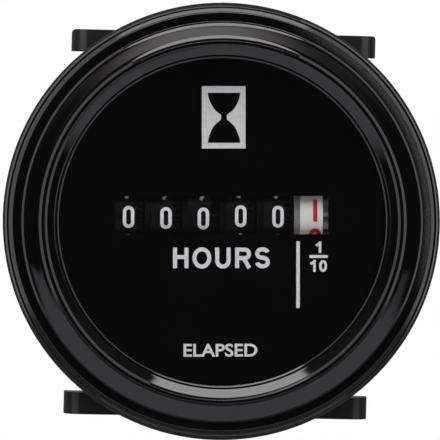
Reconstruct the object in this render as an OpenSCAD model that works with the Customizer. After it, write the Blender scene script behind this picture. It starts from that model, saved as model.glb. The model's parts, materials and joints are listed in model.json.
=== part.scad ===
// Round panel-mount hour meter: stepped bezel, clear lens, a counter of six number wheels
// driven by a small stepping motor, and a U-shaped clamping bracket behind the panel.
// Millimetres. The dial faces -Y, the rear is +Y and +Z is up. The origin lies on the
// meter's axis, in the plane where the flange seats on the panel.

/* [Case] */
// Radius of the round spigot that enters the panel hole
spigot_r = 25.8; // [25:0.1:27]
// Length of the full-round spigot behind the flange
spigot_l = 2.6; // [1:0.1:4]
// How far the case's body lies inside the spigot
body_step = 0.3; // [0.1:0.05:0.5]
// Radius of the flange that covers the panel hole
flange_r = 29.6; // [29:0.1:33]
// Thickness of the flange
flange_t = 1.8; // [1.4:0.1:3]
// Depth of the case behind the panel seat
case_depth = 25; // [23.4:0.1:32]
// Distance of the case's top and bottom flats from the axis
case_flat = 21.8; // [21.6:0.1:22]
// Wall thickness of the case
case_wall = 1.8; // [1.4:0.1:2]
// Width of the ledge inside the case that carries the counter frame
ledge = 0.6; // [0.4:0.05:1]
// Chamfer round the rear of the case
rear_chamfer = 1; // [0.4:0.1:1.4]

/* [Bezel and lens] */
// How far the bezel stays inside the flange's edge
bezel_inset = 0.3; // [0.1:0.05:0.6]
// Height of the bezel's crest above the flange
crest_h = 3.4; // [3.2:0.05:4]
// Width of the flat along the crest
crest_w = 0.58; // [0.4:0.02:0.7]
// Height of the crest's steep sides
crest_step = 0.35; // [0.2:0.05:0.45]
// Width of each of those sides, seen from the front
crest_side = 0.12; // [0.06:0.01:0.16]
// Width of the sloping wall inside the crest
cone_w = 0.98; // [0.8:0.02:1.2]
// Width of the slope outside the crest
slope_w = 0.64; // [0.5:0.02:0.8]
// Fall of that slope
slope_fall = 0.43; // [0.3:0.01:0.5]
// Width of the band outside the slope
band_w = 1.27; // [1:0.01:1.5]
// Fall of the band towards its outer edge
band_fall = 0.23; // [0.05:0.01:0.3]
// Chamfer at the band's outer edge
band_chamfer = 0.59; // [0.3:0.01:0.7]
// Rounding below that chamfer
band_round = 0.25; // [0.1:0.05:0.35]
// Height of the flat rim round the band
rim_h = 1.3; // [1:0.05:1.6]
// Width of the sloping shoulder outside the rim
shoulder_w = 0.6; // [0.3:0.05:0.8]
// Fall of that shoulder
shoulder_fall = 0.8; // [0.4:0.05:0.9]
// Width of the ledge outside the shoulder
ledge_w = 0.37; // [0.1:0.01:0.5]
// Width of the lip that holds the lens
lip_w = 1.5; // [1.2:0.05:1.8]
// Thickness of that lip
lip_t = 0.75; // [0.4:0.05:0.9]
// Thickness of the lens at its edge
lens_t = 1.4; // [1:0.1:1.8]
// Rise of the lens's centre above its edge
lens_rise = 0.5; // [0.2:0.05:0.8]
// Gap between that raised centre and the bezel
lens_gap = 0.35; // [0.2:0.05:0.6]
// Bevel round the raised centre
lens_bevel = 0.2; // [0.1:0.05:0.6]
// Thickness of the lens gasket
gasket_t = 0.8; // [0.5:0.05:1.2]
// Width of the lens gasket
gasket_w = 1.3; // [0.8:0.05:1.8]

/* [Dial and counter frame] */
// Thickness of the dial
dial_t = 0.6; // [0.4:0.05:1]
// Width of the counter window
window_w = 29; // [28:0.1:30]
// Height of the counter window
window_h = 5.2; // [4:0.1:6]
// Height of the window's middle above the axis
window_z = 0.86; // [0:0.02:2]
// Thickness of the counter frame's front plate
plate_t = 1.2; // [1:0.1:2]
// Thickness of the frame's left cheek and of the bridge
cheek_t = 1.1; // [0.8:0.1:1.4]
// Thickness of the wall that carries the motor
motor_wall_t = 1; // [0.8:0.1:1.4]

/* [Number wheels] */
// Distance between neighbouring digits
wheel_pitch = 5.065; // [4.9:0.005:5.2]
// Radius of the digit bands
drum_r = 6.3; // [6:0.05:6.5]
// Gap between the digit bands and the dial
drum_gap = 0.3; // [0.2:0.05:0.6]
// How far the gear's teeth lie inside the digit band
gear_drop = 0.63; // [0.5:0.01:0.8]
// Width of each wheel's gear
gear_w = 0.85; // [0.7:0.05:1]
// Width of each wheel's carry ring
ring_w = 0.75; // [0.6:0.05:0.9]
// How far the carry ring lies inside the digit band
ring_drop = 0.6; // [0.5:0.05:0.9]
// Radial thickness of the carry ring
ring_wall = 1.1; // [0.9:0.05:1.5]
// Thickness of the web between hub and digit band
web_t = 0.9; // [0.6:0.05:1.2]
// Radius of each wheel's hub
hub_r = 2; // [1.7:0.05:2.4]
// Bare hub left beyond the gear
hub_end = 0.3; // [0.2:0.05:0.4]
// Radius of the wheel shaft
shaft_r = 1; // [0.8:0.05:1.2]

/* [Gear train] */
// Teeth on each number wheel
wheel_teeth = 20; // [20]
// Teeth on every pinion
pinion_teeth = 8; // [8]
// Teeth on the third wheel's gear
third_teeth = 32; // [32]
// Teeth on the second wheel's gear
second_teeth = 48; // [48]
// Module of the third gear and second pinion
third_module = 0.25; // [0.24:0.005:0.26]
// Module of the second gear and rotor pinion
second_module = 0.16; // [0.155:0.005:0.165]
// Width of the third gear
third_w = 0.7; // [0.5:0.05:0.9]
// Width of the second gear
second_w = 0.6; // [0.4:0.05:0.8]
// Radius of the arbors
arbor_r = 0.4; // [0.35:0.01:0.44]
// Radius of the pivots at the arbors' ends
pivot_r = 0.3; // [0.2:0.01:0.32]
// Radius of the pinion shaft
pinion_shaft_r = 0.6; // [0.5:0.02:0.66]
// Radius of the carry pinions' hubs
pinion_hub_r = 1; // [0.9:0.02:1.05]

/* [Motor] */
// Radius of the rotor magnet
magnet_r = 2.2; // [1.8:0.05:2.4]
// Air gap round the magnet
air_gap = 0.4; // [0.2:0.05:0.6]
// Width of the stator round the magnet
stator_ring = 1; // [0.7:0.05:1.1]
// Thickness of the stator plate
stator_t = 0.8; // [0.5:0.05:1]
// Gap between the motor and the rear wall of the case
motor_gap = 1.12; // [0.3:0.02:2]
// Length of the stator and of the coil core
stator_l = 18.4; // [17.6:0.1:20]
// Width of the stator's bar
stator_bar_w = 3.8; // [3:0.1:4]
// Distance of the coil core below the rotor
core_drop = 7.94; // [7.8:0.02:8.2]
// Width of the coil core
core_w = 2; // [1.4:0.1:2.2]
// Thickness of the coil core
core_t = 1; // [0.8:0.1:1.2]
// Gap between the bobbin and each of the stator's legs
bobbin_gap = 0.5; // [0.3:0.05:1.5]
// Radius of the bobbin's flanges
bobbin_r = 2.7; // [2.4:0.05:2.9]
// Radius of the finished winding
winding_r = 2.4; // [2:0.05:2.5]

/* [Circuit board] */
// Width of the board
board_w = 28; // [24:0.5:30]
// Height of the board
board_h = 20; // [19:0.5:22]
// Height of the board's lower edge above the axis
board_z = -5; // [-6:0.1:-4.6]
// Thickness of the board
board_t = 1; // [0.8:0.1:1.6]

/* [Terminals] */
// Width of the terminal tabs
tab_w = 6.3; // [4.8:0.1:6.3]
// Thickness of the terminal tabs
tab_t = 0.8; // [0.5:0.1:0.8]
// Length of the tabs behind the case
tab_l = 8.8; // [7:0.1:12]
// Distance of each tab from the meter's middle
tab_x = 6; // [5:0.1:7]
// Height of the tabs above the axis
tab_z = 3; // [0:0.1:3.2]

/* [Bracket] */
// Thickness of the panel that the bracket is set for
panel_t = 3; // [1:0.1:5]
// Thickness of the bracket
leg_t = 3; // [2:0.1:3.5]
// Distance of each leg's inner face from the bracket's middle
leg_in = 23.25; // [23:0.05:24.5]
// Width of the legs
leg_w = 28; // [22:0.5:30]
// Gap between the case's stud bosses and the bracket's base
base_gap = 0.8; // [0.4:0.1:6]
// Width across the feet
foot_w = 41.6; // [38:0.1:44]
// Depth of the feet
foot_d = 3.4; // [2:0.1:5]
// Rounding at the front of each foot's end
foot_round = 1.9; // [1:0.1:1.95]
// Rounding at the outer corner of the upper feet
foot_corner = 0.55; // [0.1:0.05:1]
// Width of the relief between the two feet of a leg
relief_w = 26; // [20:0.5:27]
// Depth of that relief
relief_d = 1; // [0.5:0.1:1.5]
// Inner bend radius where a leg meets the base
bend_r = 1.2; // [0.5:0.1:2]
// Width of the base across its two ears
base_w = 39; // [37:0.5:41]
// Height of those ears
ear_h = 18; // [14:0.5:22]
// Width of the base's window for the terminals
base_window_w = 21; // [18:0.5:21]
// Height of that window
base_window_h = 16; // [15.6:0.2:18]
// Distance of each stud from the meter's middle
stud_x = 15; // [14.6:0.1:15.4]
// Radius of the studs
stud_r = 2; // [1.5:0.1:2.1]
// Length of the studs behind the case
stud_l = 13; // [11.5:0.5:20]
// Width of the slots for the studs
slot_w = 4.6; // [4.4:0.1:5.4]
// Length of those slots
slot_l = 7; // [6.6:0.1:9]
// How far the loose bracket has turned
bracket_turn = 1.35; // [0:0.05:1.4]
// How far the loose bracket hangs down
bracket_drop = 0.6; // [0:0.05:0.8]

/* [Hidden] */
$fn = 72;
wheel_count = 6;
// Tooth form: pressure angle, tip heights, root clearance and backlash in modules
pressure = 25;
gear_tip = 0.7;
pinion_tip = 0.9;
root_clear = 0.25;
backlash = 0.16;
// Clearances: loose seats, running fits, pressed or moulded seats, end play
fit_gap = 0.2;
run_gap = 0.06;
seat_gap = 0.02;
end_play = 0.05;
fuse = 0.2;

// Front stack along Y, from the flange's face back to the frame's ledge
front_y = -flange_t;
dial_y = front_y + gasket_t;
plate_y0 = dial_y + dial_t;
ledge_y = plate_y0 + plate_t;
case_in_y = case_depth - case_wall;
// Radii of what lies in the case's mouth
body_r = spigot_r - body_step;
bore_r = spigot_r - case_wall;
seat_r = bore_r + ledge;
dial_r = seat_r - fit_gap;
lens_r = dial_r - fit_gap;
sight_r = lens_r - lip_w;
bezel_r = flange_r - bezel_inset;
// Bezel's section: radii of the crest's feet, the slope's foot, the band's chamfer and edge, the ledge
crest_r0 = sight_r + cone_w;
crest_r1 = crest_r0 + crest_w + 2 * crest_side;
slope_r = crest_r1 + slope_w;
chamfer_r = slope_r + band_w;
band_r = chamfer_r + band_chamfer;
ledge_r = bezel_r - ledge_w;
// Heights of the same above the flange, and of the middle of the band's rounding
side_h = crest_h - crest_step;
band_h = side_h - slope_fall;
edge_h = band_h - band_fall;
round_h = edge_h - band_chamfer - band_round * (sqrt(2) - 1);
round_on = band_round / sqrt(2);
ledge_h = rim_h - shoulder_fall;
lens_edge_y = front_y - lens_t;

// Number wheels: places along the wheel shaft
wheel_gap = 0.065;
wheel_shift = 0.25;
spacer_r = 1.6;
drum_room = 0.35;
notch_d = 0.65;
notch_w = 0.85;
hub_l = wheel_pitch - wheel_gap;
digit_w = hub_l - ring_w - gear_w - hub_end;
ring_r = drum_r - ring_drop;
gear_module = (drum_r - gear_drop) / (wheel_teeth / 2 + gear_tip);
function digit_x(i) = (i - (wheel_count - 1) / 2) * wheel_pitch;
function hub_x(i) = digit_x(i) - hub_l / 2 - wheel_shift;
function gear_x(i) = hub_x(i) + ring_w + digit_w;
wheels_x0 = hub_x(0);
wheels_x1 = hub_x(wheel_count - 1) + hub_l;

// Shaft and arbor places in the Y-Z plane
function toward(angle, d) = d * [cos(angle), sin(angle)];
carry_dir = 60;
third_dir = -70;
second_dir = 25;
rotor_dir = -95;
wheel_mesh = (wheel_teeth + pinion_teeth) / 2 * gear_module;
third_mesh = (third_teeth + pinion_teeth) / 2 * third_module;
second_mesh = (second_teeth + pinion_teeth) / 2 * second_module;
wheel_at = [plate_y0 + drum_gap + drum_r, window_z];
carry_at = wheel_at + toward(carry_dir, wheel_mesh);
third_at = wheel_at + toward(third_dir, wheel_mesh);
second_at = third_at + toward(second_dir, third_mesh);
rotor_at = second_at + toward(rotor_dir, second_mesh);

// Planes of the train along X, and what stands between them
train_gap = 0.3;
second_step = 0.9;
bridge_gap = 0.8;
wall_left = 0.6;
carry_gap = 0.1;
mesh_over = 0.1;
third_collar_r = 0.8;
second_collar_r = 0.56;
cheek_x = wheels_x0 - end_play - cheek_t;
third_x = wheels_x1 + train_gap;
second_x = third_x + third_w + second_step;
bridge_x = second_x + second_w + bridge_gap;
motor_wall_x1 = digit_x(wheel_count - 2) - wall_left;
motor_wall_x0 = motor_wall_x1 - motor_wall_t;

// Frame and bridge: how far they reach past the shafts, and the pillars that join them
plate_open = sqrt(pow(drum_r + drum_room, 2) - pow(wheel_at[0] - ledge_y, 2));
cheek_low = 5;
cheek_top = 2.7;
cheek_back = 2.5;
wall_low = 2.2;
wall_step = 2.1;
wall_top = 2.4;
wall_back = 3.5;
bridge_edge = 2;
bridge_back = 3;
pillar_d = 3.6;
pillar_l = 3.2;
screw_r = 0.6;
screw_head_r = 1.2;
screw_head_t = 0.7;
screw_l = 3;
screw_gap = 0.8;
pillar_y = ledge_y + pillar_d / 2;
pillar_top = sqrt(pow(bore_r - screw_gap, 2) - pow(bridge_x + cheek_t + screw_head_t, 2)) - screw_head_r;
pillar_z = [pillar_top, -pillar_top];

// Motor: its middle along Y, the posts that carry it, and the coil below it
post_r = 1.3;
post_l = 2.1;
bar_drop = 0.94;
magnet_over = 0.4;
leg_len = 2.6;
bobbin_wall = 0.5;
motor_y = case_in_y - motor_gap - stator_l / 2;
post_dy = stator_l / 2 - post_r;
stator_x0 = motor_wall_x1 + post_l;
stator_x1 = stator_x0 + stator_t;
stator_bar_z = rotor_at[1] - bar_drop - stator_bar_w / 2;
core_x = stator_x1 + core_t / 2;
core_z = rotor_at[1] - core_drop;
core_low = core_z - core_w / 2;
bobbin_l = stator_l - 2 * (leg_len + bobbin_gap);
tube_r = sqrt(pow(core_w / 2, 2) + pow(core_t / 2, 2)) + bobbin_wall;

// Circuit board and the posts that carry it
board_post_h = 0.8;
board_post_r = 1.8;
board_post_in = 2.5;
board_post_low = 2;
board_y1 = case_in_y - board_post_h;
board_y0 = board_y1 - board_t;
// Parts on the board: the chip, the bent leads, then radius, length and lead of each round part
chip_at = [0, 8.6];
chip_body = [4.9, 3.9];
chip_h = 1.5;
chip_lift = 0.15;
chip_pitch = 1.27;
chip_lead_w = 0.4;
chip_lead_t = 0.2;
chip_lead_l = 0.6;
lead_r = 0.25;
crystal_at = [8.6, 12];
crystal_size = [1, 6, 0.8];
resistor_at = [0, 12.6];
resistor_size = [1, 5.5, 1];
diode_at = [0, -1.6];
diode_size = [1.2, 4.5, 1];
// Capacitor: a can with a rolled edge and a crimp above its seal
capacitor_at = [-9, 9.4];
can_r = 3;
can_h = 6;
can_edge = 0.3;
crimp_y = 1.3;
crimp_d = 0.25;
crimp_half = 0.3;

// Terminals: tail through the board, tapered tip and locking hole
tail_w = 3;
tail_out = 0.5;
tip_l = 1;
tip_w = 1.4;
tab_hole_r = 0.85;
tab_hole_in = 3.2;

// Studs and bracket
stud_head_r = 3.4;
stud_head_t = 0.6;
stud_boss_r = 4.2;
stud_boss_h = 1.2;
base_y = case_depth + stud_boss_h + base_gap;
base_y1 = base_y + leg_t;
leg_l = base_y - panel_t;
leg_out = leg_in + leg_t;
washer_r = 4.5;
washer_t = 0.8;
nut_af = 7;
nut_t = 3.2;

// Placing: a flat shape drawn in (y, z) and thickened along X, one drawn in (x, z) and
// thickened along Y, a section [radius, y] turned about the meter's axis, and plain rods
module slab_x(x0, x1) translate([x0, 0, 0]) rotate([90, 0, 90]) linear_extrude(x1 - x0) children();
module slab_y(y0, y1) translate([0, y1, 0]) rotate([90, 0, 0]) linear_extrude(y1 - y0) children();
module turned() rotate([-90, 0, 0]) rotate_extrude() children();
module rod_x(r, x0, x1, at) slab_x(x0, x1) translate(at) circle(r);
module rod_y(r, y0, y1, at) slab_y(y0, y1) translate(at) circle(r);
module ring(r, bore) difference() {
    circle(r);
    circle(bore);
}
module tube_x(r, bore, x0, x1, at) slab_x(x0, x1) translate(at) ring(r, bore);
module rect(x0, x1, z0, z1) translate([x0, z0]) square([x1 - x0, z1 - z0]);
module slot(w, l) union() {
    square([w, l - w], center = true);
    for (s = [-1, 1]) translate([0, s * (l - w) / 2]) circle(w / 2);
}

// Involute gears: the half angle of a tooth at radius r, one tooth's outline, a whole gear
function polar(r, a) = [r * cos(a), r * sin(a)];
function involute(a) = tan(a) * 180 / PI - a;
function half_tooth(n, m, r) =
    let (base = n * m / 2 * cos(pressure))
    90 / n - backlash / 2 / n * 180 / PI + involute(pressure) - involute(acos(base / max(r, base)));
function flank(n, m, low, high) =
    let (base = n * m / 2 * cos(pressure), start = max(low, base))
    concat(low < base ? [low] : [], [start, (start + high) / 2, high]);
function tooth(n, m, radii, a) = concat(
    [for (r = radii) polar(r, a - half_tooth(n, m, r))],
    [for (k = [len(radii) - 1:-1:0]) polar(radii[k], a + half_tooth(n, m, radii[k]))]
);
module gear(n, m, tip, mate_tip, every = 1) {
    radii = flank(n, m, (n / 2 - mate_tip - root_clear) * m, (n / 2 + tip) * m);
    polygon([for (i = [0:every:n - 1]) each tooth(n, m, radii, i * 360 / n)]);
}
module wheel_gear(n, m) gear(n, m, gear_tip, pinion_tip);
module pinion_gear(m, every = 1) gear(pinion_teeth, m, pinion_tip, gear_tip, every);
// Turn of a pinion that meshes, in direction dir, with a gear of n teeth standing at 0
function mesh_turn(dir, n) = dir + 180 + 180 / pinion_teeth + dir * n / pinion_teeth;

// Bezel: one section. From the lip that holds the lens it climbs the inner cone to a flat crest
// with steep sides, slopes down to the band, and steps over a rounded edge to rim, shoulder and ledge
function above(r, h) = [r, front_y - h];
module bezel() color("#151516") turned() difference() {
    union() {
        polygon([
            above(sight_r, 0),
            above(sight_r, lens_t + lip_t),
            above(crest_r0, side_h),
            above(crest_r0 + crest_side, crest_h),
            above(crest_r1 - crest_side, crest_h),
            above(crest_r1, side_h),
            above(slope_r, band_h),
            above(chamfer_r, edge_h),
            above(band_r - band_round + round_on, round_h + round_on),
            above(band_r, round_h),
            above(band_r, rim_h),
            above(ledge_r - shoulder_w, rim_h),
            above(ledge_r, ledge_h),
            above(bezel_r, ledge_h),
            above(bezel_r, 0)
        ]);
        translate(above(band_r - band_round, round_h)) circle(band_round);
    }
    rect(0, lens_r + fit_gap, lens_edge_y, front_y + fuse);
}

module lens() color("#dfe9ee", 0.35) turned() polygon([
    [0, front_y],
    [lens_r, front_y],
    [lens_r, lens_edge_y],
    [sight_r - lens_gap, lens_edge_y],
    [sight_r - lens_gap - lens_bevel, lens_edge_y - lens_rise],
    [0, lens_edge_y - lens_rise]
]);

module lens_gasket() color("#202020") turned() rect(dial_r - gasket_w, dial_r, front_y, dial_y);

module dial() color("#0c0c0d") slab_y(dial_y, dial_y + dial_t) difference() {
    circle(dial_r);
    translate([0, window_z]) square([window_w, window_h], center = true);
}

// Case: flange and spigot, then a body with top and bottom flats, hollow from the front
module case_outline(r, flat) intersection() {
    circle(r);
    square([4 * r, 2 * flat], center = true);
}
module case() color("#1a1a1b") difference() {
    union() {
        rod_y(flange_r, front_y, 0, [0, 0]);
        rod_y(spigot_r, -fuse, spigot_l, [0, 0]);
        intersection() {
            slab_y(spigot_l - fuse, case_depth) case_outline(2 * body_r, case_flat);
            turned() polygon([
                [0, 0],
                [body_r, 0],
                [body_r, case_depth - rear_chamfer],
                [body_r - rear_chamfer, case_depth],
                [0, case_depth]
            ]);
        }
        for (s = [-1, 1])
            rod_y(stud_boss_r, case_depth - fuse, case_depth + stud_boss_h, [s * stud_x, 0]);
    }
    rod_y(seat_r, front_y - fuse, ledge_y, [0, 0]);
    difference() {
        slab_y(ledge_y - fuse, case_in_y) case_outline(bore_r, case_flat - case_wall);
        for (at = board_posts()) rod_y(board_post_r, board_y1, case_depth, at);
    }
    for (s = [-1, 1]) {
        rod_y(stud_r + seat_gap, case_in_y - fuse, case_depth + 2 * stud_boss_h, [s * stud_x, 0]);
        translate([s * tab_x, case_depth, tab_z])
            cube([tab_t + 2 * seat_gap, 4 * case_wall, tab_w + 2 * seat_gap], center = true);
    }
}
function board_posts() = [
    [-board_w / 2 + board_post_in, board_z + board_h - board_post_in],
    [board_w / 2 - board_post_in, board_z + board_h - board_post_in],
    [0, board_z + board_post_low]
];

// Bracket: two legs and a base in one bent section, four feet, slots and a window
module bracket_place() translate([0, 0, -bracket_drop]) rotate([0, bracket_turn, 0]) children();
module bent_section() difference() {
    union() {
        translate([panel_t, -leg_out]) square([leg_l - bend_r, 2 * leg_out]);
        translate([panel_t, -leg_out + leg_t + bend_r])
            square([leg_l + leg_t, 2 * (leg_out - leg_t - bend_r)]);
        for (s = [-1, 1]) translate([base_y - bend_r, s * (leg_in - bend_r)]) circle(leg_t + bend_r);
    }
    translate([panel_t - fuse, -leg_in]) square([leg_l - bend_r + fuse, 2 * leg_in]);
    translate([panel_t, -leg_in + bend_r]) square([leg_l, 2 * (leg_in - bend_r)]);
    for (s = [-1, 1]) translate([base_y - bend_r, s * (leg_in - bend_r)]) circle(bend_r);
}
module foot_plan() intersection() {
    union() {
        for (s = [-1, 1])
            translate([s * (foot_w / 2 - foot_round), panel_t + foot_round]) circle(foot_round);
        rect(-foot_w / 2 + foot_round, foot_w / 2 - foot_round, panel_t, panel_t + foot_d);
        rect(-foot_w / 2, foot_w / 2, panel_t + foot_round, panel_t + foot_d);
    }
    rect(-foot_w, foot_w, panel_t, panel_t + foot_d);
}
module upper_foot_front() union() {
    rect(-foot_w / 2, foot_w / 2, leg_in, leg_out - foot_corner);
    rect(-foot_w / 2 + foot_corner, foot_w / 2 - foot_corner, leg_in, leg_out);
    for (s = [-1, 1])
        translate([s * (foot_w / 2 - foot_corner), leg_out - foot_corner]) circle(foot_corner);
}
module bracket() color("#1c1c1d") bracket_place() difference() {
    union() {
        slab_x(-leg_w / 2, leg_w / 2) bent_section();
        slab_y(base_y, base_y1) square([base_w, ear_h], center = true);
        intersection() {
            translate([0, 0, leg_in]) linear_extrude(leg_t) foot_plan();
            slab_y(panel_t, panel_t + foot_d) upper_foot_front();
        }
        translate([0, 0, -leg_out]) linear_extrude(leg_t) foot_plan();
    }
    for (s = [-1, 1]) translate([-relief_w / 2, panel_t - fuse, s * (leg_in + leg_t / 2) - leg_t])
        cube([relief_w, relief_d + fuse, 2 * leg_t]);
    slab_y(base_y - fuse, base_y1 + fuse) {
        square([base_window_w, base_window_h], center = true);
        for (s = [-1, 1]) translate([s * stud_x, 0]) slot(slot_w, slot_l);
    }
}

module studs() color("#b9b9b4") for (s = [-1, 1]) {
    rod_y(stud_head_r, case_in_y - stud_head_t, case_in_y, [s * stud_x, 0]);
    rod_y(stud_r, case_in_y - stud_head_t, case_depth + stud_l, [s * stud_x, 0]);
}
module washers() color("#c4c4c0") for (s = [-1, 1]) slab_y(base_y1, base_y1 + washer_t)
    translate([s * stud_x, 0]) ring(washer_r, stud_r + 2 * run_gap);
module nuts() color("#bdbdb8") for (s = [-1, 1])
    slab_y(base_y1 + washer_t, base_y1 + washer_t + nut_t)
    translate([s * stud_x, 0]) difference() {
        circle(nut_af / 2 / cos(30), $fn = 6);
        circle(stud_r + run_gap);
    }

// Terminal tab with its narrow tail, which passes through the circuit board
module tab_shape() difference() {
    end_y = case_depth + tab_l;
    low_z = tab_z - tab_w / 2;
    top_z = tab_z + tab_w / 2;
    union() {
        rect(board_y0 - tail_out, case_in_y + fuse, tab_z - tail_w / 2, tab_z + tail_w / 2);
        polygon([
            [case_in_y, low_z],
            [end_y - tip_l, low_z],
            [end_y, low_z + tip_w],
            [end_y, top_z - tip_w],
            [end_y - tip_l, top_z],
            [case_in_y, top_z]
        ]);
    }
    translate([end_y - tab_hole_in, tab_z]) circle(tab_hole_r);
}
module terminal(x) color("#c9b77a") slab_x(x - tab_t / 2, x + tab_t / 2) tab_shape();
module terminal_positive() terminal(tab_x);
module terminal_negative() terminal(-tab_x);

// Counter frame: front plate, left cheek, motor wall with stator posts, two bridge pillars
module bearing(r, at) translate(at) circle(r + run_gap);
module seat(r, at) translate(at) circle(r + seat_gap);
module cheek_shape() difference() {
    rect(plate_y0 + fuse, carry_at[0] + cheek_back, wheel_at[1] - cheek_low, carry_at[1] + cheek_top);
    seat(shaft_r, wheel_at);
    seat(pinion_shaft_r, carry_at);
}
module motor_wall_shape() difference() {
    union() {
        rect(plate_y0 + fuse, second_at[0] + wall_back, stator_bar_z - wall_low, second_at[1] + wall_top);
        rect(plate_y0 + fuse, motor_y + stator_l / 2, stator_bar_z - wall_low, stator_bar_z + wall_step);
    }
    translate(wheel_at) circle(drum_r + drum_room);
    for (at = [third_at, second_at, rotor_at]) bearing(pivot_r, at);
}
module stator_posts() for (s = [-1, 1]) translate([motor_y + s * post_dy, stator_bar_z]) children();
module counter_frame() color("#2b2b2e") difference() {
    union() {
        slab_y(plate_y0, ledge_y) circle(dial_r);
        slab_x(cheek_x, cheek_x + cheek_t) cheek_shape();
        slab_x(motor_wall_x0, motor_wall_x1) motor_wall_shape();
        slab_x(motor_wall_x0, stator_x0) stator_posts() circle(post_r);
        for (z = pillar_z) slab_x(bridge_x - pillar_l, bridge_x)
            rect(plate_y0 + fuse, ledge_y + pillar_d, z - pillar_d / 2, z + pillar_d / 2);
    }
    slab_y(plate_y0 - fuse, ledge_y + fuse)
        translate([0, wheel_at[1]])
        rect(wheels_x0 - end_play, wheels_x1 + end_play, -plate_open, plate_open);
    slab_x(stator_x0 - screw_l, stator_x0 + fuse) stator_posts() circle(screw_r + seat_gap);
    for (z = pillar_z) rod_x(screw_r + seat_gap, bridge_x - screw_l, bridge_x + fuse, [pillar_y, z]);
}
module train_bridge() color("#2b2b2e") slab_x(bridge_x, bridge_x + cheek_t) difference() {
    front = ledge_y + end_play;
    union() {
        rect(front, second_at[0] + bridge_back, rotor_at[1] - bridge_edge, carry_at[1] + bridge_edge);
        rect(front, ledge_y + pillar_d, pillar_z[1] - pillar_d / 2, pillar_z[0] + pillar_d / 2);
    }
    seat(shaft_r, wheel_at);
    seat(pinion_shaft_r, carry_at);
    for (at = [third_at, second_at, rotor_at]) bearing(pivot_r, at);
    for (z = pillar_z) translate([pillar_y, z]) circle(screw_r + run_gap);
}
module screw_x(x, at) {
    rod_x(screw_head_r, x, x + screw_head_t, at);
    rod_x(screw_r, x - screw_l + fuse, x + fuse, at);
}
module bridge_screws() color("#c2c2bd") for (z = pillar_z) screw_x(bridge_x + cheek_t, [pillar_y, z]);
module motor_screws() color("#c2c2bd") for (s = [-1, 1])
    screw_x(stator_x1, [motor_y + s * post_dy, stator_bar_z]);

module wheel_shaft() color("#b5b7ba") rod_x(shaft_r, cheek_x, bridge_x + cheek_t, wheel_at);
module pinion_shaft() color("#b5b7ba") rod_x(pinion_shaft_r, cheek_x, bridge_x + cheek_t, carry_at);
module wheel_spacer() color("#d8d4c8")
    tube_x(spacer_r, shaft_r + run_gap, wheels_x1 + end_play, bridge_x - end_play, wheel_at);
module pinion_spacer() color("#d8d4c8") tube_x(pinion_hub_r, pinion_shaft_r + run_gap,
    carry_x(wheel_count - 1) + end_play, bridge_x - end_play, carry_at);

// Number wheel i: carry ring, digit band, gear and hub in one moulding
module carry_ring() difference() {
    circle(ring_r);
    for (k = [-1:1]) rotate(k * 360 / wheel_teeth) translate([ring_r, 0])
        square([2 * notch_d, notch_w], center = true);
}
module number_wheel(i) {
    x0 = hub_x(i);
    difference() {
        union() {
            slab_x(x0, x0 + ring_w + fuse) translate(wheel_at) carry_ring();
            rod_x(drum_r, x0 + ring_w, x0 + ring_w + digit_w, wheel_at);
            slab_x(gear_x(i) - fuse, gear_x(i) + gear_w)
                translate(wheel_at) wheel_gear(wheel_teeth, gear_module);
            rod_x(hub_r, x0, x0 + hub_l, wheel_at);
        }
        tube_x(ring_r - ring_wall, hub_r, x0 - fuse, gear_x(i) - web_t, wheel_at);
        rod_x(shaft_r + run_gap, x0 - fuse, x0 + hub_l + fuse, wheel_at);
    }
}
module ten_thousands_wheel() color("#141415") number_wheel(0);
module thousands_wheel() color("#141415") number_wheel(1);
module hundreds_wheel() color("#141415") number_wheel(2);
module tens_wheel() color("#141415") number_wheel(3);
module units_wheel() color("#141415") number_wheel(4);
module tenths_wheel() color("#dedad2") number_wheel(5);

// Carry pinion k stands between wheels k - 1 and k; every second tooth is longer
function carry_x(k) = hub_x(k) - carry_gap;
module carry_pinion(k) color("#d8d4c8") {
    x1 = carry_x(k);
    x0 = gear_x(k - 1) + end_play;
    short_x = gear_x(k - 1) + gear_w;
    turn = mesh_turn(carry_dir, wheel_teeth);
    difference() {
        union() {
            slab_x(x0, short_x) translate(carry_at) rotate(turn) pinion_gear(gear_module);
            slab_x(short_x - fuse, x1) translate(carry_at) rotate(turn) pinion_gear(gear_module, 2);
            rod_x(pinion_hub_r, carry_x(k - 1) + carry_gap + end_play, x1, carry_at);
        }
        rod_x(pinion_shaft_r + run_gap, carry_x(k - 1), x1 + fuse, carry_at);
    }
}
module carry_pinion_1() carry_pinion(1);
module carry_pinion_2() carry_pinion(2);
module carry_pinion_3() carry_pinion(3);
module carry_pinion_4() carry_pinion(4);
module carry_pinion_5() carry_pinion(5);

// Arbor with a pivot at each end, between the motor wall and the bridge
module arbor(at) {
    rod_x(arbor_r, motor_wall_x1 + end_play, bridge_x - end_play, at);
    rod_x(pivot_r, motor_wall_x0, bridge_x + cheek_t, at);
}
module third_wheel() color("#e3dfd4") {
    tenths_gear = gear_x(wheel_count - 1);
    arbor(third_at);
    slab_x(tenths_gear + end_play, tenths_gear + gear_w) translate(third_at)
        rotate(mesh_turn(third_dir, wheel_teeth)) pinion_gear(gear_module);
    rod_x(third_collar_r, tenths_gear + gear_w - fuse, third_x + fuse, third_at);
    slab_x(third_x, third_x + third_w) translate(third_at) wheel_gear(third_teeth, third_module);
}
module second_wheel() color("#e3dfd4") {
    arbor(second_at);
    slab_x(third_x - mesh_over, third_x + third_w + mesh_over) translate(second_at)
        rotate(mesh_turn(second_dir, third_teeth)) pinion_gear(third_module);
    rod_x(second_collar_r, third_x + third_w, second_x + fuse, second_at);
    slab_x(second_x, second_x + second_w) translate(second_at) wheel_gear(second_teeth, second_module);
}
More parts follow.
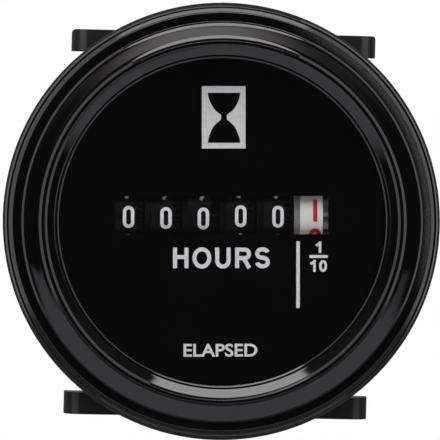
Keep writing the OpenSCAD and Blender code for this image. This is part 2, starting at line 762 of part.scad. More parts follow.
module rotor_pinion() color("#e3dfd4") {
    arbor(rotor_at);
    slab_x(second_x - mesh_over, second_x + second_w + mesh_over) translate(rotor_at)
        rotate(mesh_turn(rotor_dir, second_teeth)) pinion_gear(second_module);
}
module rotor_magnet() color("#5b5a58")
    tube_x(magnet_r, arbor_r + seat_gap, stator_x0 - magnet_over, stator_x1 + magnet_over, rotor_at);

// Motor: stator plate with two legs, a core across them, and the coil on the core
module stator() color("#8f9092") slab_x(stator_x0, stator_x1) difference() {
    union() {
        translate([motor_y, stator_bar_z]) square([stator_l, stator_bar_w], center = true);
        translate(rotor_at) circle(magnet_r + air_gap + stator_ring);
        for (s = [-1, 1]) translate([motor_y + s * (stator_l - leg_len) / 2, 0])
            rect(-leg_len / 2, leg_len / 2, core_low, stator_bar_z);
    }
    translate(rotor_at) circle(magnet_r + air_gap);
    stator_posts() circle(screw_r + run_gap);
}
module coil_core() color("#8f9092") slab_x(stator_x1, stator_x1 + core_t)
    translate([motor_y, core_z]) square([stator_l, core_w], center = true);
module coil_ring(r, y0, y1) rod_y(r, motor_y + y0, motor_y + y1, [core_x, core_z]);
module coil_bobbin() color("#d9d3c0") difference() {
    union() {
        coil_ring(tube_r, -bobbin_l / 2, bobbin_l / 2);
        coil_ring(bobbin_r, -bobbin_l / 2, -bobbin_l / 2 + bobbin_wall);
        coil_ring(bobbin_r, bobbin_l / 2 - bobbin_wall, bobbin_l / 2);
    }
    translate([core_x, motor_y, core_z])
        cube([core_t + 2 * end_play, 2 * bobbin_l, core_w + 2 * end_play], center = true);
}
module coil_winding() color("#b5642c") difference() {
    coil_ring(winding_r, -bobbin_l / 2 + bobbin_wall, bobbin_l / 2 - bobbin_wall);
    coil_ring(tube_r + seat_gap, -bobbin_l, bobbin_l);
}

// Circuit board and the parts on its front
module circuit_board() color("#2f6b3c") slab_y(board_y0, board_y1) difference() {
    rect(-board_w / 2, board_w / 2, board_z, board_z + board_h);
    for (s = [-1, 1]) translate([s * tab_x, tab_z])
        square([tab_t + 2 * run_gap, tail_w + 2 * run_gap], center = true);
}
// One bent lead of the chip, drawn in (y, z) from its body's side down to the board
module chip_lead_shape() {
    mid = -chip_lift - chip_h / 2;
    rect(mid, mid + chip_lead_t, -chip_lead_t, chip_lead_l - chip_lead_t);
    rect(mid, 0, chip_lead_l - 2 * chip_lead_t, chip_lead_l - chip_lead_t);
    rect(-chip_lead_t, 0, chip_lead_l - 2 * chip_lead_t, 2 * (chip_lead_l - chip_lead_t));
}
module controller_chip() color("#1b1b1d") {
    slab_y(board_y0 - chip_lift - chip_h, board_y0 - chip_lift)
        translate(chip_at) square(chip_body, center = true);
    for (i = [-1.5:1.5], s = [0, 1])
        translate([chip_at[0] + i * chip_pitch, board_y0, chip_at[1]]) mirror([0, 0, s])
        slab_x(-chip_lead_w / 2, chip_lead_w / 2) translate([0, chip_body[1] / 2]) chip_lead_shape();
}
// A part lying along X on the board: a round body and a bent lead at each end
module axial_part(size, at) {
    r = size[0];
    half = size[1] / 2;
    lead = size[2];
    y = board_y0 - r;
    rod_x(r, at[0] - half, at[0] + half, [y, at[1]]);
    rod_x(lead_r, at[0] - half - lead, at[0] + half + lead, [y, at[1]]);
    for (s = [-1, 1]) rod_y(lead_r, y, board_y0, [at[0] + s * (half + lead), at[1]]);
}
module quartz_crystal() color("#c8c9cc") axial_part(crystal_size, crystal_at);
module resistor() color("#c9a877") axial_part(resistor_size, resistor_at);
module diode() color("#26262a") axial_part(diode_size, diode_at);
module capacitor() color("#2d3a55")
    translate([capacitor_at[0], board_y0, capacitor_at[1]]) turned() polygon([
        [0, -can_h],
        [can_r - can_edge, -can_h],
        [can_r, -can_h + can_edge],
        [can_r, -crimp_y - crimp_half],
        [can_r - crimp_d, -crimp_y],
        [can_r, -crimp_y + crimp_half],
        [can_r, 0],
        [0, 0]
    ]);

bezel();
lens();
lens_gasket();
dial();
case();
bracket();
studs();
washers();
nuts();
terminal_positive();
terminal_negative();
counter_frame();
train_bridge();
bridge_screws();
wheel_shaft();
pinion_shaft();
wheel_spacer();
pinion_spacer();
ten_thousands_wheel();
thousands_wheel();
hundreds_wheel();
tens_wheel();
units_wheel();
tenths_wheel();
carry_pinion_1();
carry_pinion_2();
carry_pinion_3();
carry_pinion_4();
carry_pinion_5();
third_wheel();
second_wheel();
rotor_pinion();
rotor_magnet();
stator();
motor_screws();
coil_core();
coil_bobbin();
coil_winding();
circuit_board();
controller_chip();
quartz_crystal();
capacitor();
resistor();
diode();
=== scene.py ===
"""Looks of a round panel-mount hour meter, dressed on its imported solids."""

import json
import logging
import math
from abc import ABC, abstractmethod
from collections.abc import Callable, Iterator, Sequence
from contextlib import contextmanager
from dataclasses import dataclass
from enum import Enum

import bpy
from mathutils import Matrix, Vector

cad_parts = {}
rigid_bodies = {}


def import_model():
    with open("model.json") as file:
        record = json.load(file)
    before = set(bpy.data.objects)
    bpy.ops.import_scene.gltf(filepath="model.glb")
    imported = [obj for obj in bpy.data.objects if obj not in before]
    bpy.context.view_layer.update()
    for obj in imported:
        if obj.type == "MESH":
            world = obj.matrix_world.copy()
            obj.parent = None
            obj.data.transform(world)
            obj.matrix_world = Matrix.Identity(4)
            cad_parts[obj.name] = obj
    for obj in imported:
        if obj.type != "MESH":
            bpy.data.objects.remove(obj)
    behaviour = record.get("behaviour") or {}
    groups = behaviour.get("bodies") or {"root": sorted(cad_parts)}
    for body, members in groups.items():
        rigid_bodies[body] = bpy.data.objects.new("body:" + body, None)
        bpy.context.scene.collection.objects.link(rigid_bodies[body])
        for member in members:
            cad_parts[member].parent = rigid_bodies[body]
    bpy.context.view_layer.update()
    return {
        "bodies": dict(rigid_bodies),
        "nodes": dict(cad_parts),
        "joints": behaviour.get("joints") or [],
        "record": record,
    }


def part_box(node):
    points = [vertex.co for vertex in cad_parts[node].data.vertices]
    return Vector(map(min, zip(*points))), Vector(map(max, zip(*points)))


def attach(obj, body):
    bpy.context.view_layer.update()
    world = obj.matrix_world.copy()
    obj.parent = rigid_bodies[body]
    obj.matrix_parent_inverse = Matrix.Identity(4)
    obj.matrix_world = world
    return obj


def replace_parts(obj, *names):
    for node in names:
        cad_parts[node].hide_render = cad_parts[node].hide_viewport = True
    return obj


LOG = logging.getLogger("hour_meter")
MM = 0.001
Object = bpy.types.Object
Material = bpy.types.Material
Node = bpy.types.Node
Tree = bpy.types.NodeTree
Socket = bpy.types.NodeSocket
Colour = tuple[float, float, float]
Triple = tuple[float, float, float]
Point = tuple[float, float]
Line = tuple[bool, list[Point]]
Feed = Socket | float | tuple[float, ...]


class Graph:
    """Short calls that add and join the nodes of one tree."""

    def __init__(self, tree: Tree) -> None:
        """Keep the tree that the calls work on."""
        self.tree = tree

    def add(self, kind: str, feeds: dict[str | int, Feed] | None = None, **settings: object) -> Node:
        """Add a node.

        Args:
            kind: the node's type.
            feeds: values or sockets for its inputs, by name or number.
            settings: the node's own options.

        Returns:
            The new node.
        """
        node = self.tree.nodes.new(kind)
        for name, setting in settings.items():
            setattr(node, name, setting)
        for key, value in (feeds or {}).items():
            self.feed(node.inputs[key], value)
        return node

    def feed(self, socket: Socket, value: Feed) -> None:
        """Give an input a value, or join a socket to it.

        Args:
            socket: the input.
            value: a plain value, or the output that feeds it.
        """
        if isinstance(value, Socket):
            self.tree.links.new(value, socket)
        elif isinstance(value, tuple) and socket.type == "RGBA" and len(value) == 3:
            socket.default_value = (*value, 1.0)
        else:
            socket.default_value = value

    def sum(self, operation: str, a: Feed, b: Feed = 0.0) -> Socket:
        """Work out one sum.

        Args:
            operation: the kind of sum.
            a: the first value.
            b: the second value.

        Returns:
            The result's socket.
        """
        return self.add("ShaderNodeMath", {0: a, 1: b}, operation=operation).outputs[0]

    def ease(
        self, value: Feed, low: float, high: float, start: Feed = 0.0, end: Feed = 1.0
    ) -> Socket:
        """Ease smoothly from one value to another.

        Args:
            value: what is followed.
            low: where the change starts.
            high: where it ends.
            start: the result before the change.
            end: the result after it.

        Returns:
            The result's socket.
        """
        feeds = {"Value": value, "From Min": low, "From Max": high, "To Min": start, "To Max": end}
        return self.add("ShaderNodeMapRange", feeds, interpolation_type="SMOOTHSTEP").outputs[0]

    def tint(self, mask: Feed, plain: Feed, other: Feed) -> Socket:
        """Mix two colours.

        Args:
            mask: the other colour's share.
            plain: the colour where the mask is 0.
            other: the colour where it is 1.

        Returns:
            The mixed colour's socket.
        """
        return self.add("ShaderNodeMix", {0: mask, 6: plain, 7: other}, data_type="RGBA").outputs[2]

    def noise(self, where: Feed, size_mm: float, detail: float = 2.0) -> Socket:
        """Noise whose blotches have about the given size.

        Args:
            where: the coordinates.
            size_mm: the size of a blotch.
            detail: how many finer layers it has.

        Returns:
            The noise value's socket.
        """
        feeds = {"Vector": where, "Scale": 1 / (size_mm * MM), "Detail": detail}
        return self.add("ShaderNodeTexNoise", feeds).outputs[0]

    def both(self, *masks: Feed) -> Feed:
        """Where all of the masks hold.

        Args:
            masks: the masks, each from 0 to 1.

        Returns:
            Their product.
        """
        held, *others = masks
        for mask in others:
            held = self.sum("MULTIPLY", held, mask)
        return held

    def axes(self, where: Feed) -> Sequence[Socket]:
        """The X, Y and Z parts of a vector."""
        return self.add("ShaderNodeSeparateXYZ", {0: where}).outputs

    def moved(self, where: Feed, **feeds: Feed) -> Socket:
        """Coordinates moved, turned or scaled by a mapping with these feeds."""
        return self.add("ShaderNodeMapping", {"Vector": where, **feeds}).outputs[0]

    def measure(self, operation: str, a: Feed, b: Feed = (0.0, 0.0, 0.0)) -> Socket:
        """One number from vectors, such as a length."""
        return self.add("ShaderNodeVectorMath", {0: a, 1: b}, operation=operation).outputs["Value"]


class Effect(Enum):
    """Effects that several finishes share."""

    GRAIN = "moulded_grain"
    HANDLING = "handling_marks"
    WORN = "worn_edges"
    DUST = "settled_dust"


class Effects:
    """The shared effects as node groups, each built once."""

    made: dict[Effect, Tree] = {}

    @classmethod
    def place(cls, graph: Graph, effect: Effect, where: Feed, **feeds: Feed) -> Node:
        """Place an effect in a material.

        Args:
            graph: the material's nodes.
            effect: which effect.
            where: the coordinates.
            feeds: its other inputs.

        Returns:
            The group node.
        """
        if effect not in cls.made:
            builders = {
                Effect.GRAIN: cls.grain,
                Effect.HANDLING: cls.handling,
                Effect.WORN: cls.worn,
                Effect.DUST: cls.dust,
            }
            cls.made[effect] = builders[effect]()
        return graph.add("ShaderNodeGroup", {"Vector": where, **feeds}, node_tree=cls.made[effect])

    @staticmethod
    def start(effect: Effect, inputs: list[str], outputs: list[str]) -> tuple[Graph, dict[str, Socket], Node]:
        """Start a group with its named sockets: vectors for Vector and Normal, else numbers.

        Args:
            effect: which effect.
            inputs: the inputs' names.
            outputs: the outputs' names.

        Returns:
            The group's nodes, its inputs by name, and its output node.
        """
        tree = bpy.data.node_groups.new(effect.value, "ShaderNodeTree")
        for side, names in (("INPUT", inputs), ("OUTPUT", outputs)):
            for name in names:
                kind = "NodeSocketVector" if name in ("Vector", "Normal") else "NodeSocketFloat"
                tree.interface.new_socket(name, in_out=side, socket_type=kind)
        graph = Graph(tree)
        source = graph.add("NodeGroupInput")
        return graph, {name: source.outputs[name] for name in inputs}, graph.add("NodeGroupOutput")

    @classmethod
    def grain(cls) -> Tree:
        """The height of a fine spark-eroded grain.

        Returns:
            The group.
        """
        graph, given, out = cls.start(Effect.GRAIN, ["Vector", "Scale"], ["Height"])
        fine = graph.add("ShaderNodeTexNoise", {**given, "Detail": 3.0}).outputs[0]
        cells = graph.add("ShaderNodeTexVoronoi", given).outputs[0]
        height = graph.sum("MULTIPLY_ADD", cells, 0.5)
        graph.feed(height.node.inputs[2], fine)
        graph.feed(out.inputs["Height"], height)
        return graph.tree

    @classmethod
    def handling(cls) -> Tree:
        """Faint smears and hairlines that change how rough a surface is.

        Returns:
            The group.
        """
        graph, given, out = cls.start(Effect.HANDLING, ["Vector", "Low", "High"], ["Roughness"])
        smear = graph.ease(graph.noise(given["Vector"], 9.0, 4.0), 0.38, 0.68)
        turned = graph.moved(given["Vector"], Rotation=(0.3, 0.7, 0.5), Scale=(1.0, 30.0, 30.0))
        hairs = graph.ease(graph.noise(turned, 6.0, 1.0), 0.69, 0.74)
        mask = graph.sum("MAXIMUM", smear, hairs)
        graph.feed(out.inputs["Roughness"], graph.ease(mask, 0.0, 1.0, given["Low"], given["High"]))
        return graph.tree

    @classmethod
    def worn(cls) -> Tree:
        """Edges that handling has polished: a mask along them, and normals that round them off.

        Returns:
            The group.
        """
        graph, given, out = cls.start(Effect.WORN, ["Vector", "Radius"], ["Mask", "Normal"])
        rounded = graph.add("ShaderNodeBevel", {"Radius": given["Radius"]}, samples=8).outputs[0]
        flat = graph.add("ShaderNodeNewGeometry").outputs["Normal"]
        turn = graph.measure("DOT_PRODUCT", rounded, flat)
        patchy = graph.ease(graph.noise(given["Vector"], 1.6, 3.0), 0.35, 0.65, 0.25, 1.0)
        graph.feed(out.inputs["Mask"], graph.both(graph.ease(turn, 0.995, 0.9), patchy))
        graph.feed(out.inputs["Normal"], rounded)
        return graph.tree

    @classmethod
    def dust(cls) -> Tree:
        """Dust that settles in specks on faces that look up.

        Returns:
            The group.
        """
        graph, given, out = cls.start(Effect.DUST, ["Vector", "Amount"], ["Mask"])
        normal = graph.add("ShaderNodeNewGeometry").outputs["Normal"]
        facing = graph.ease(graph.axes(normal)[2], 0.0, 0.9, 0.15, 1.0)
        specks = graph.ease(graph.noise(given["Vector"], 0.25, 2.0), 0.56, 0.72)
        clouds = graph.ease(graph.noise(given["Vector"], 5.0, 3.0), 0.35, 0.7)
        graph.feed(out.inputs["Mask"], graph.both(facing, graph.both(specks, clouds), given["Amount"]))
        return graph.tree


class Coat:
    """A material with its Principled shader, ready for its feeds."""

    def __init__(self, name: str) -> None:
        """Start the material and its coordinates.

        Args:
            name: the material's name.
        """
        self.material = bpy.data.materials.new(name)
        self.material.use_nodes = True
        self.graph = Graph(self.material.node_tree)
        self.shader = self.material.node_tree.nodes["Principled BSDF"]
        self.where = self.graph.add("ShaderNodeTexCoord").outputs["Object"]

    def set(self, **feeds: Feed) -> None:
        """Feed the shader's inputs, named with underscores for spaces."""
        for name, value in feeds.items():
            self.graph.feed(self.shader.inputs[name.replace("_", " ")], value)

    def bump(self, height: Feed, depth_mm: float, normal: Feed | None = None) -> None:
        """Raise the surface by a height.

        Args:
            height: from 0 to 1.
            depth_mm: how deep that is.
            normal: normals that it starts from, if not the surface's own.
        """
        feeds: dict[str | int, Feed] = {"Height": height, "Distance": depth_mm * MM, "Strength": 1.0}
        if normal is not None:
            feeds["Normal"] = normal
        self.set(Normal=self.graph.add("ShaderNodeBump", feeds).outputs[0])

    def cover(self, mask: Feed, other: Node) -> None:
        """Mix another shader over the coat's own.

        Args:
            mask: the other shader's share.
            other: the other shader.
        """
        shares = {0: mask, 1: self.shader.outputs[0], 2: other.outputs[0]}
        mixed = self.graph.add("ShaderNodeMixShader", shares).outputs[0]
        self.graph.feed(self.graph.tree.nodes["Material Output"].inputs["Surface"], mixed)


@dataclass(frozen=True)
class Finish(ABC):
    """A surface that is made as a material of its own."""

    name: str

    def material(self) -> Material:
        """Build the finish.

        Returns:
            The material.
        """
        coat = Coat(self.name)
        self.lay(coat, coat.graph)
        return coat.material

    @abstractmethod
    def lay(self, coat: Coat, graph: Graph) -> None:
        """Feed the coat's shader; each kind of finish has its own way.

        Args:
            coat: the coat.
            graph: its nodes.
        """


@dataclass(frozen=True)
class Film:
    """A dusty film on one side of a rim that runs round Y."""

    shade: float
    edges_mm: tuple[float, float, float, float] = (26.95, 27.95, 28.14, 28.26)
    towards: Triple = (0.906, 0.0, 0.423)
    side: Point = (0.66, 0.9)
    speck_mm: float = 0.22

    def mask(self, graph: Graph, where: Feed) -> Feed:
        """Find where the film lies.

        Args:
            graph: the material's nodes.
            where: the coordinates.

        Returns:
            Its mask.
        """
        x, _, z = graph.axes(where)
        flat = graph.add("ShaderNodeCombineXYZ", {0: x, 2: z}).outputs[0]
        radius = graph.measure("LENGTH", flat)
        aim = graph.add("ShaderNodeVectorMath", {0: flat}, operation="NORMALIZE").outputs[0]
        start, full, fade, end = (edge * MM for edge in self.edges_mm)
        return graph.both(
            graph.ease(radius, start, full),
            graph.ease(graph.measure("DOT_PRODUCT", aim, self.towards), *self.side),
            graph.ease(radius, end, fade),
            graph.ease(graph.noise(where, self.speck_mm, 3.0), 0.35, 0.7, 0.35, 1.0),
        )


@dataclass(frozen=True)
class MouldedPlastic(Finish):
    """Moulded plastic with its grain, smears, worn edges and a little dust."""

    colour: Colour
    roughness: Point
    grain_mm: float = 0.12
    depth_mm: float = 0.004
    specular: float = 0.5
    edge_mm: float = 0.08
    wear: float = 0.3
    dust: float = 0.3
    glow: float = 0.0
    paint_and_highlight: Colour | None = None
    paint_and_highlight_mm: Point = (0.0, 0.0)
    paint_and_highlight_soft_mm: float = 0.02
    paint_and_highlight_turn_deg: float | None = None
    film: Film | None = None
    flow_mm: float = 14.0
    deep: float = 0.82
    pale: Point = (1.5, 0.004)
    dust_share: float = 0.08
    dust_colour: Colour = (0.42, 0.4, 0.37)

    def lay(self, coat: Coat, graph: Graph) -> None:
        """Feed the coat's shader.

        Args:
            coat: the coat.
            graph: its nodes.
        """
        low, high = self.roughness
        grain = Effects.place(graph, Effect.GRAIN, coat.where, Scale=1 / (self.grain_mm * MM))
        worn = Effects.place(graph, Effect.WORN, coat.where, Radius=self.edge_mm * MM)
        marks = Effects.place(graph, Effect.HANDLING, coat.where, Low=low, High=high)
        dust = Effects.place(graph, Effect.DUST, coat.where, Amount=self.dust)
        pale = tuple(min(1.0, c * self.pale[0] + self.pale[1]) for c in self.colour)
        deep = tuple(c * self.deep for c in self.colour)
        flow = graph.ease(graph.noise(coat.where, self.flow_mm, 3.0), 0.3, 0.7)
        body = graph.tint(flow, deep, self.colour)
        # A band across X: real paint on the tenths drum, a painted highlight near each end of the bracket.
        if self.paint_and_highlight:
            body = graph.tint(self.band(graph, coat.where), body, self.paint_and_highlight)
        if self.film:
            body = graph.tint(self.film.mask(graph, coat.where), body, (self.film.shade,) * 3)
        rubbed = graph.tint(graph.sum("MULTIPLY", worn.outputs["Mask"], self.wear), body, pale)
        lying = graph.sum("MULTIPLY", dust.outputs["Mask"], self.dust_share)
        coat.set(
            Base_Color=graph.tint(lying, rubbed, self.dust_colour),
            Roughness=marks.outputs["Roughness"],
            Specular_IOR_Level=self.specular,
        )
        if self.glow:
            coat.set(Subsurface_Weight=self.glow, Subsurface_Radius=(0.001, 0.0008, 0.0006))
        coat.bump(grain.outputs["Height"], self.depth_mm, worn.outputs["Normal"])

    def band(self, graph: Graph, where: Feed) -> Feed:
        """Find where a coloured band lies across X: real paint on the tenths drum, a painted highlight near
        the bracket's ends; a turned one lies on both sides.

        Args:
            graph: the material's nodes.
            where: the coordinates.

        Returns:
            Its mask.
        """
        along = graph.axes(where)[0]
        if self.paint_and_highlight_turn_deg is not None:
            turn = (0.0, math.radians(self.paint_and_highlight_turn_deg), 0.0)
            along = graph.sum("ABSOLUTE", graph.axes(graph.moved(where, Rotation=turn))[0])
        start, end = (edge * MM for edge in self.paint_and_highlight_mm)
        soft = self.paint_and_highlight_soft_mm * MM
        after = graph.ease(along, start - soft, start + soft)
        before = graph.ease(along, end + soft, end - soft)
        return graph.both(after, before)


@dataclass(frozen=True)
class ClearPlastic(Finish):
    """Clear polished plastic that lets the light in without caustics."""

    colour: Colour
    roughness: float
    ior: float

    def lay(self, coat: Coat, graph: Graph) -> None:
        """Feed the coat's shader.

        Args:
            coat: the coat.
            graph: its nodes.
        """
        rough = self.roughness
        coat.set(
            Base_Color=self.colour,
            Roughness=graph.ease(graph.noise(coat.where, 11.0, 4.0), 0.45, 0.8, rough, rough * 2.5),
            IOR=self.ior,
            Transmission_Weight=1.0,
        )
        path = graph.add("ShaderNodeLightPath")
        open_way = graph.sum("MAXIMUM", path.outputs["Is Shadow Ray"], path.outputs["Is Diffuse Ray"])
        coat.cover(open_way, graph.add("ShaderNodeBsdfTransparent", {"Color": self.colour}))


class Drawn(Enum):
    """The axis along which a metal is drawn, as the scales of its grain."""

    X = (1.0, 30.0, 30.0)
    Y = (30.0, 1.0, 30.0)
    Z = (30.0, 30.0, 1.0)


@dataclass(frozen=True)
class PlatedMetal(Finish):
    """Plated or bare metal with a drawn grain and patches of tarnish."""

    colour: Colour
    tarnish: Colour
    roughness: Point
    drawn: Drawn = Drawn.X
    edge_mm: float = 0.06

    def lay(self, coat: Coat, graph: Graph) -> None:
        """Feed the coat's shader.

        Args:
            coat: the coat.
            graph: its nodes.
        """
        lines = graph.noise(graph.moved(coat.where, Scale=self.drawn.value), 2.5, 3.0)
        patches = graph.ease(graph.noise(coat.where, 2.2, 4.0), 0.42, 0.72)
        worn = Effects.place(graph, Effect.WORN, coat.where, Radius=self.edge_mm * MM)
        uneven = graph.sum("ADD", lines, graph.sum("MULTIPLY", patches, 0.4))
        coat.set(
            Base_Color=graph.tint(patches, self.colour, self.tarnish),
            Metallic=1.0,
            Roughness=graph.ease(uneven, 0.3, 1.0, *self.roughness),
        )
        coat.bump(lines, 0.0012, worn.outputs["Normal"])


@dataclass(frozen=True)
class PrintInk(Finish):
    """Screen-printed ink: a thin film with small pinholes and a soft tone."""

    colour: Colour
    roughness: float = 0.5
    mottle: float = 0.1

    def lay(self, coat: Coat, graph: Graph) -> None:
        """Feed the coat's shader.

        Args:
            coat: the coat.
            graph: its nodes.
        """
        tone = graph.ease(graph.noise(coat.where, 0.5, 3.0), 0.3, 0.7)
        thin = tuple(c * (1 - self.mottle) for c in self.colour)
        film = graph.noise(coat.where, 0.08, 2.0)
        coat.set(
            Base_Color=graph.tint(tone, thin, self.colour),
            Roughness=graph.ease(film, 0.3, 0.7, self.roughness - 0.06, self.roughness + 0.1),
            Specular_IOR_Level=0.3,
        )
        coat.bump(film, 0.003)


@dataclass(frozen=True)
class WoundWire(Finish):
    """Enamelled wire wound in close turns round a bobbin that lies along Y, with painted shade in the grooves
    between turns.
    """

    colour: Colour
    groove_shade: Colour
    turn_mm: float = 0.14

    def lay(self, coat: Coat, graph: Graph) -> None:
        """Feed the coat's shader.

        Args:
            coat: the coat.
            graph: its nodes.
        """
        along = graph.axes(coat.where)[1]
        wander = graph.sum("MULTIPLY", graph.noise(coat.where, 3.0, 2.0), self.turn_mm * MM)
        phase = graph.sum("MULTIPLY", graph.sum("ADD", along, wander), math.pi / (self.turn_mm * MM))
        turns = graph.sum("ABSOLUTE", graph.sum("SINE", phase))
        shade = graph.ease(graph.noise(coat.where, 1.2, 3.0), 0.3, 0.7, 0.75, 1.0)
        # Painted shade: the base colour darkens in the grooves between the turns.
        coat.set(
            Base_Color=graph.tint(graph.sum("MULTIPLY", turns, shade), self.groove_shade, self.colour),
            Metallic=graph.ease(turns, 0.1, 0.5, 0.3, 1.0),
            Roughness=graph.ease(turns, 0.0, 1.0, 0.55, 0.24),
        )
        coat.bump(turns, self.turn_mm / 2)


@dataclass(frozen=True)
class SolderMask(Finish):
    """Circuit board: solder mask over copper tracks that run along X and Z."""

    mask: Colour
    track: Colour
    pitch_mm: float = 1.9

    def lay(self, coat: Coat, graph: Graph) -> None:
        """Feed the coat's shader.

        Args:
            coat: the coat.
            graph: its nodes.
        """
        x, _, z = graph.axes(coat.where)
        rate = 2 * math.pi / (self.pitch_mm * MM)
        field = graph.ease(graph.noise(coat.where, 6.0, 0.0), 0.47, 0.5)
        waves = [graph.sum("SINE", graph.sum("MULTIPLY", part, rate)) for part in (x, z)]
        across, down = [graph.ease(wave, 0.35, 0.45) for wave in waves]
        chosen = graph.add("ShaderNodeMix", {0: field, 2: across, 3: down}, data_type="FLOAT").outputs[0]
        weave = graph.noise(coat.where, 0.3, 2.0)
        coat.set(
            Base_Color=graph.tint(chosen, self.mask, self.track),
            Roughness=graph.ease(weave, 0.3, 0.7, 0.28, 0.4),
            Coat_Weight=0.3,
        )
        coat.bump(graph.sum("ADD", chosen, graph.sum("MULTIPLY", weave, 0.25)), 0.03)


@dataclass(frozen=True)
class BandedBody(Finish):
    """A small lacquered body along X or Y with metal leads and painted bands."""

    body: Colour
    bands: tuple[Colour, ...]
    centre_mm: Triple
    axis: int
    half_mm: float
    pitch_mm: float
    fade_mm: float = 0.05
    roughness: float = 0.35
    metal: Colour = (0.6, 0.58, 0.52)

    def lay(self, coat: Coat, graph: Graph) -> None:
        """Feed the coat's shader.

        Args:
            coat: the coat.
            graph: its nodes.
        """
        moved = graph.moved(coat.where, Location=tuple(-c * MM for c in self.centre_mm))
        along = graph.axes(moved)[self.axis]
        mottle = graph.noise(coat.where, 0.4, 3.0)
        colour: Feed = graph.tint(mottle, tuple(c * 0.85 for c in self.body), self.body)
        pitch, half = self.pitch_mm * MM, self.half_mm * MM
        first = -(len(self.bands) - 1) / 2
        for number, band in enumerate(self.bands):
            away = graph.sum("ABSOLUTE", graph.sum("SUBTRACT", along, (first + number) * pitch))
            colour = graph.tint(graph.ease(away, 0.3 * pitch, 0.22 * pitch), colour, band)
        lead = graph.ease(graph.sum("ABSOLUTE", along), half, half + self.fade_mm * MM)
        coat.set(
            Base_Color=graph.tint(lead, colour, self.metal),
            Metallic=lead,
            Roughness=graph.ease(mottle, 0.3, 0.7, self.roughness - 0.06, self.roughness + 0.06),
        )
        coat.bump(mottle, 0.01)


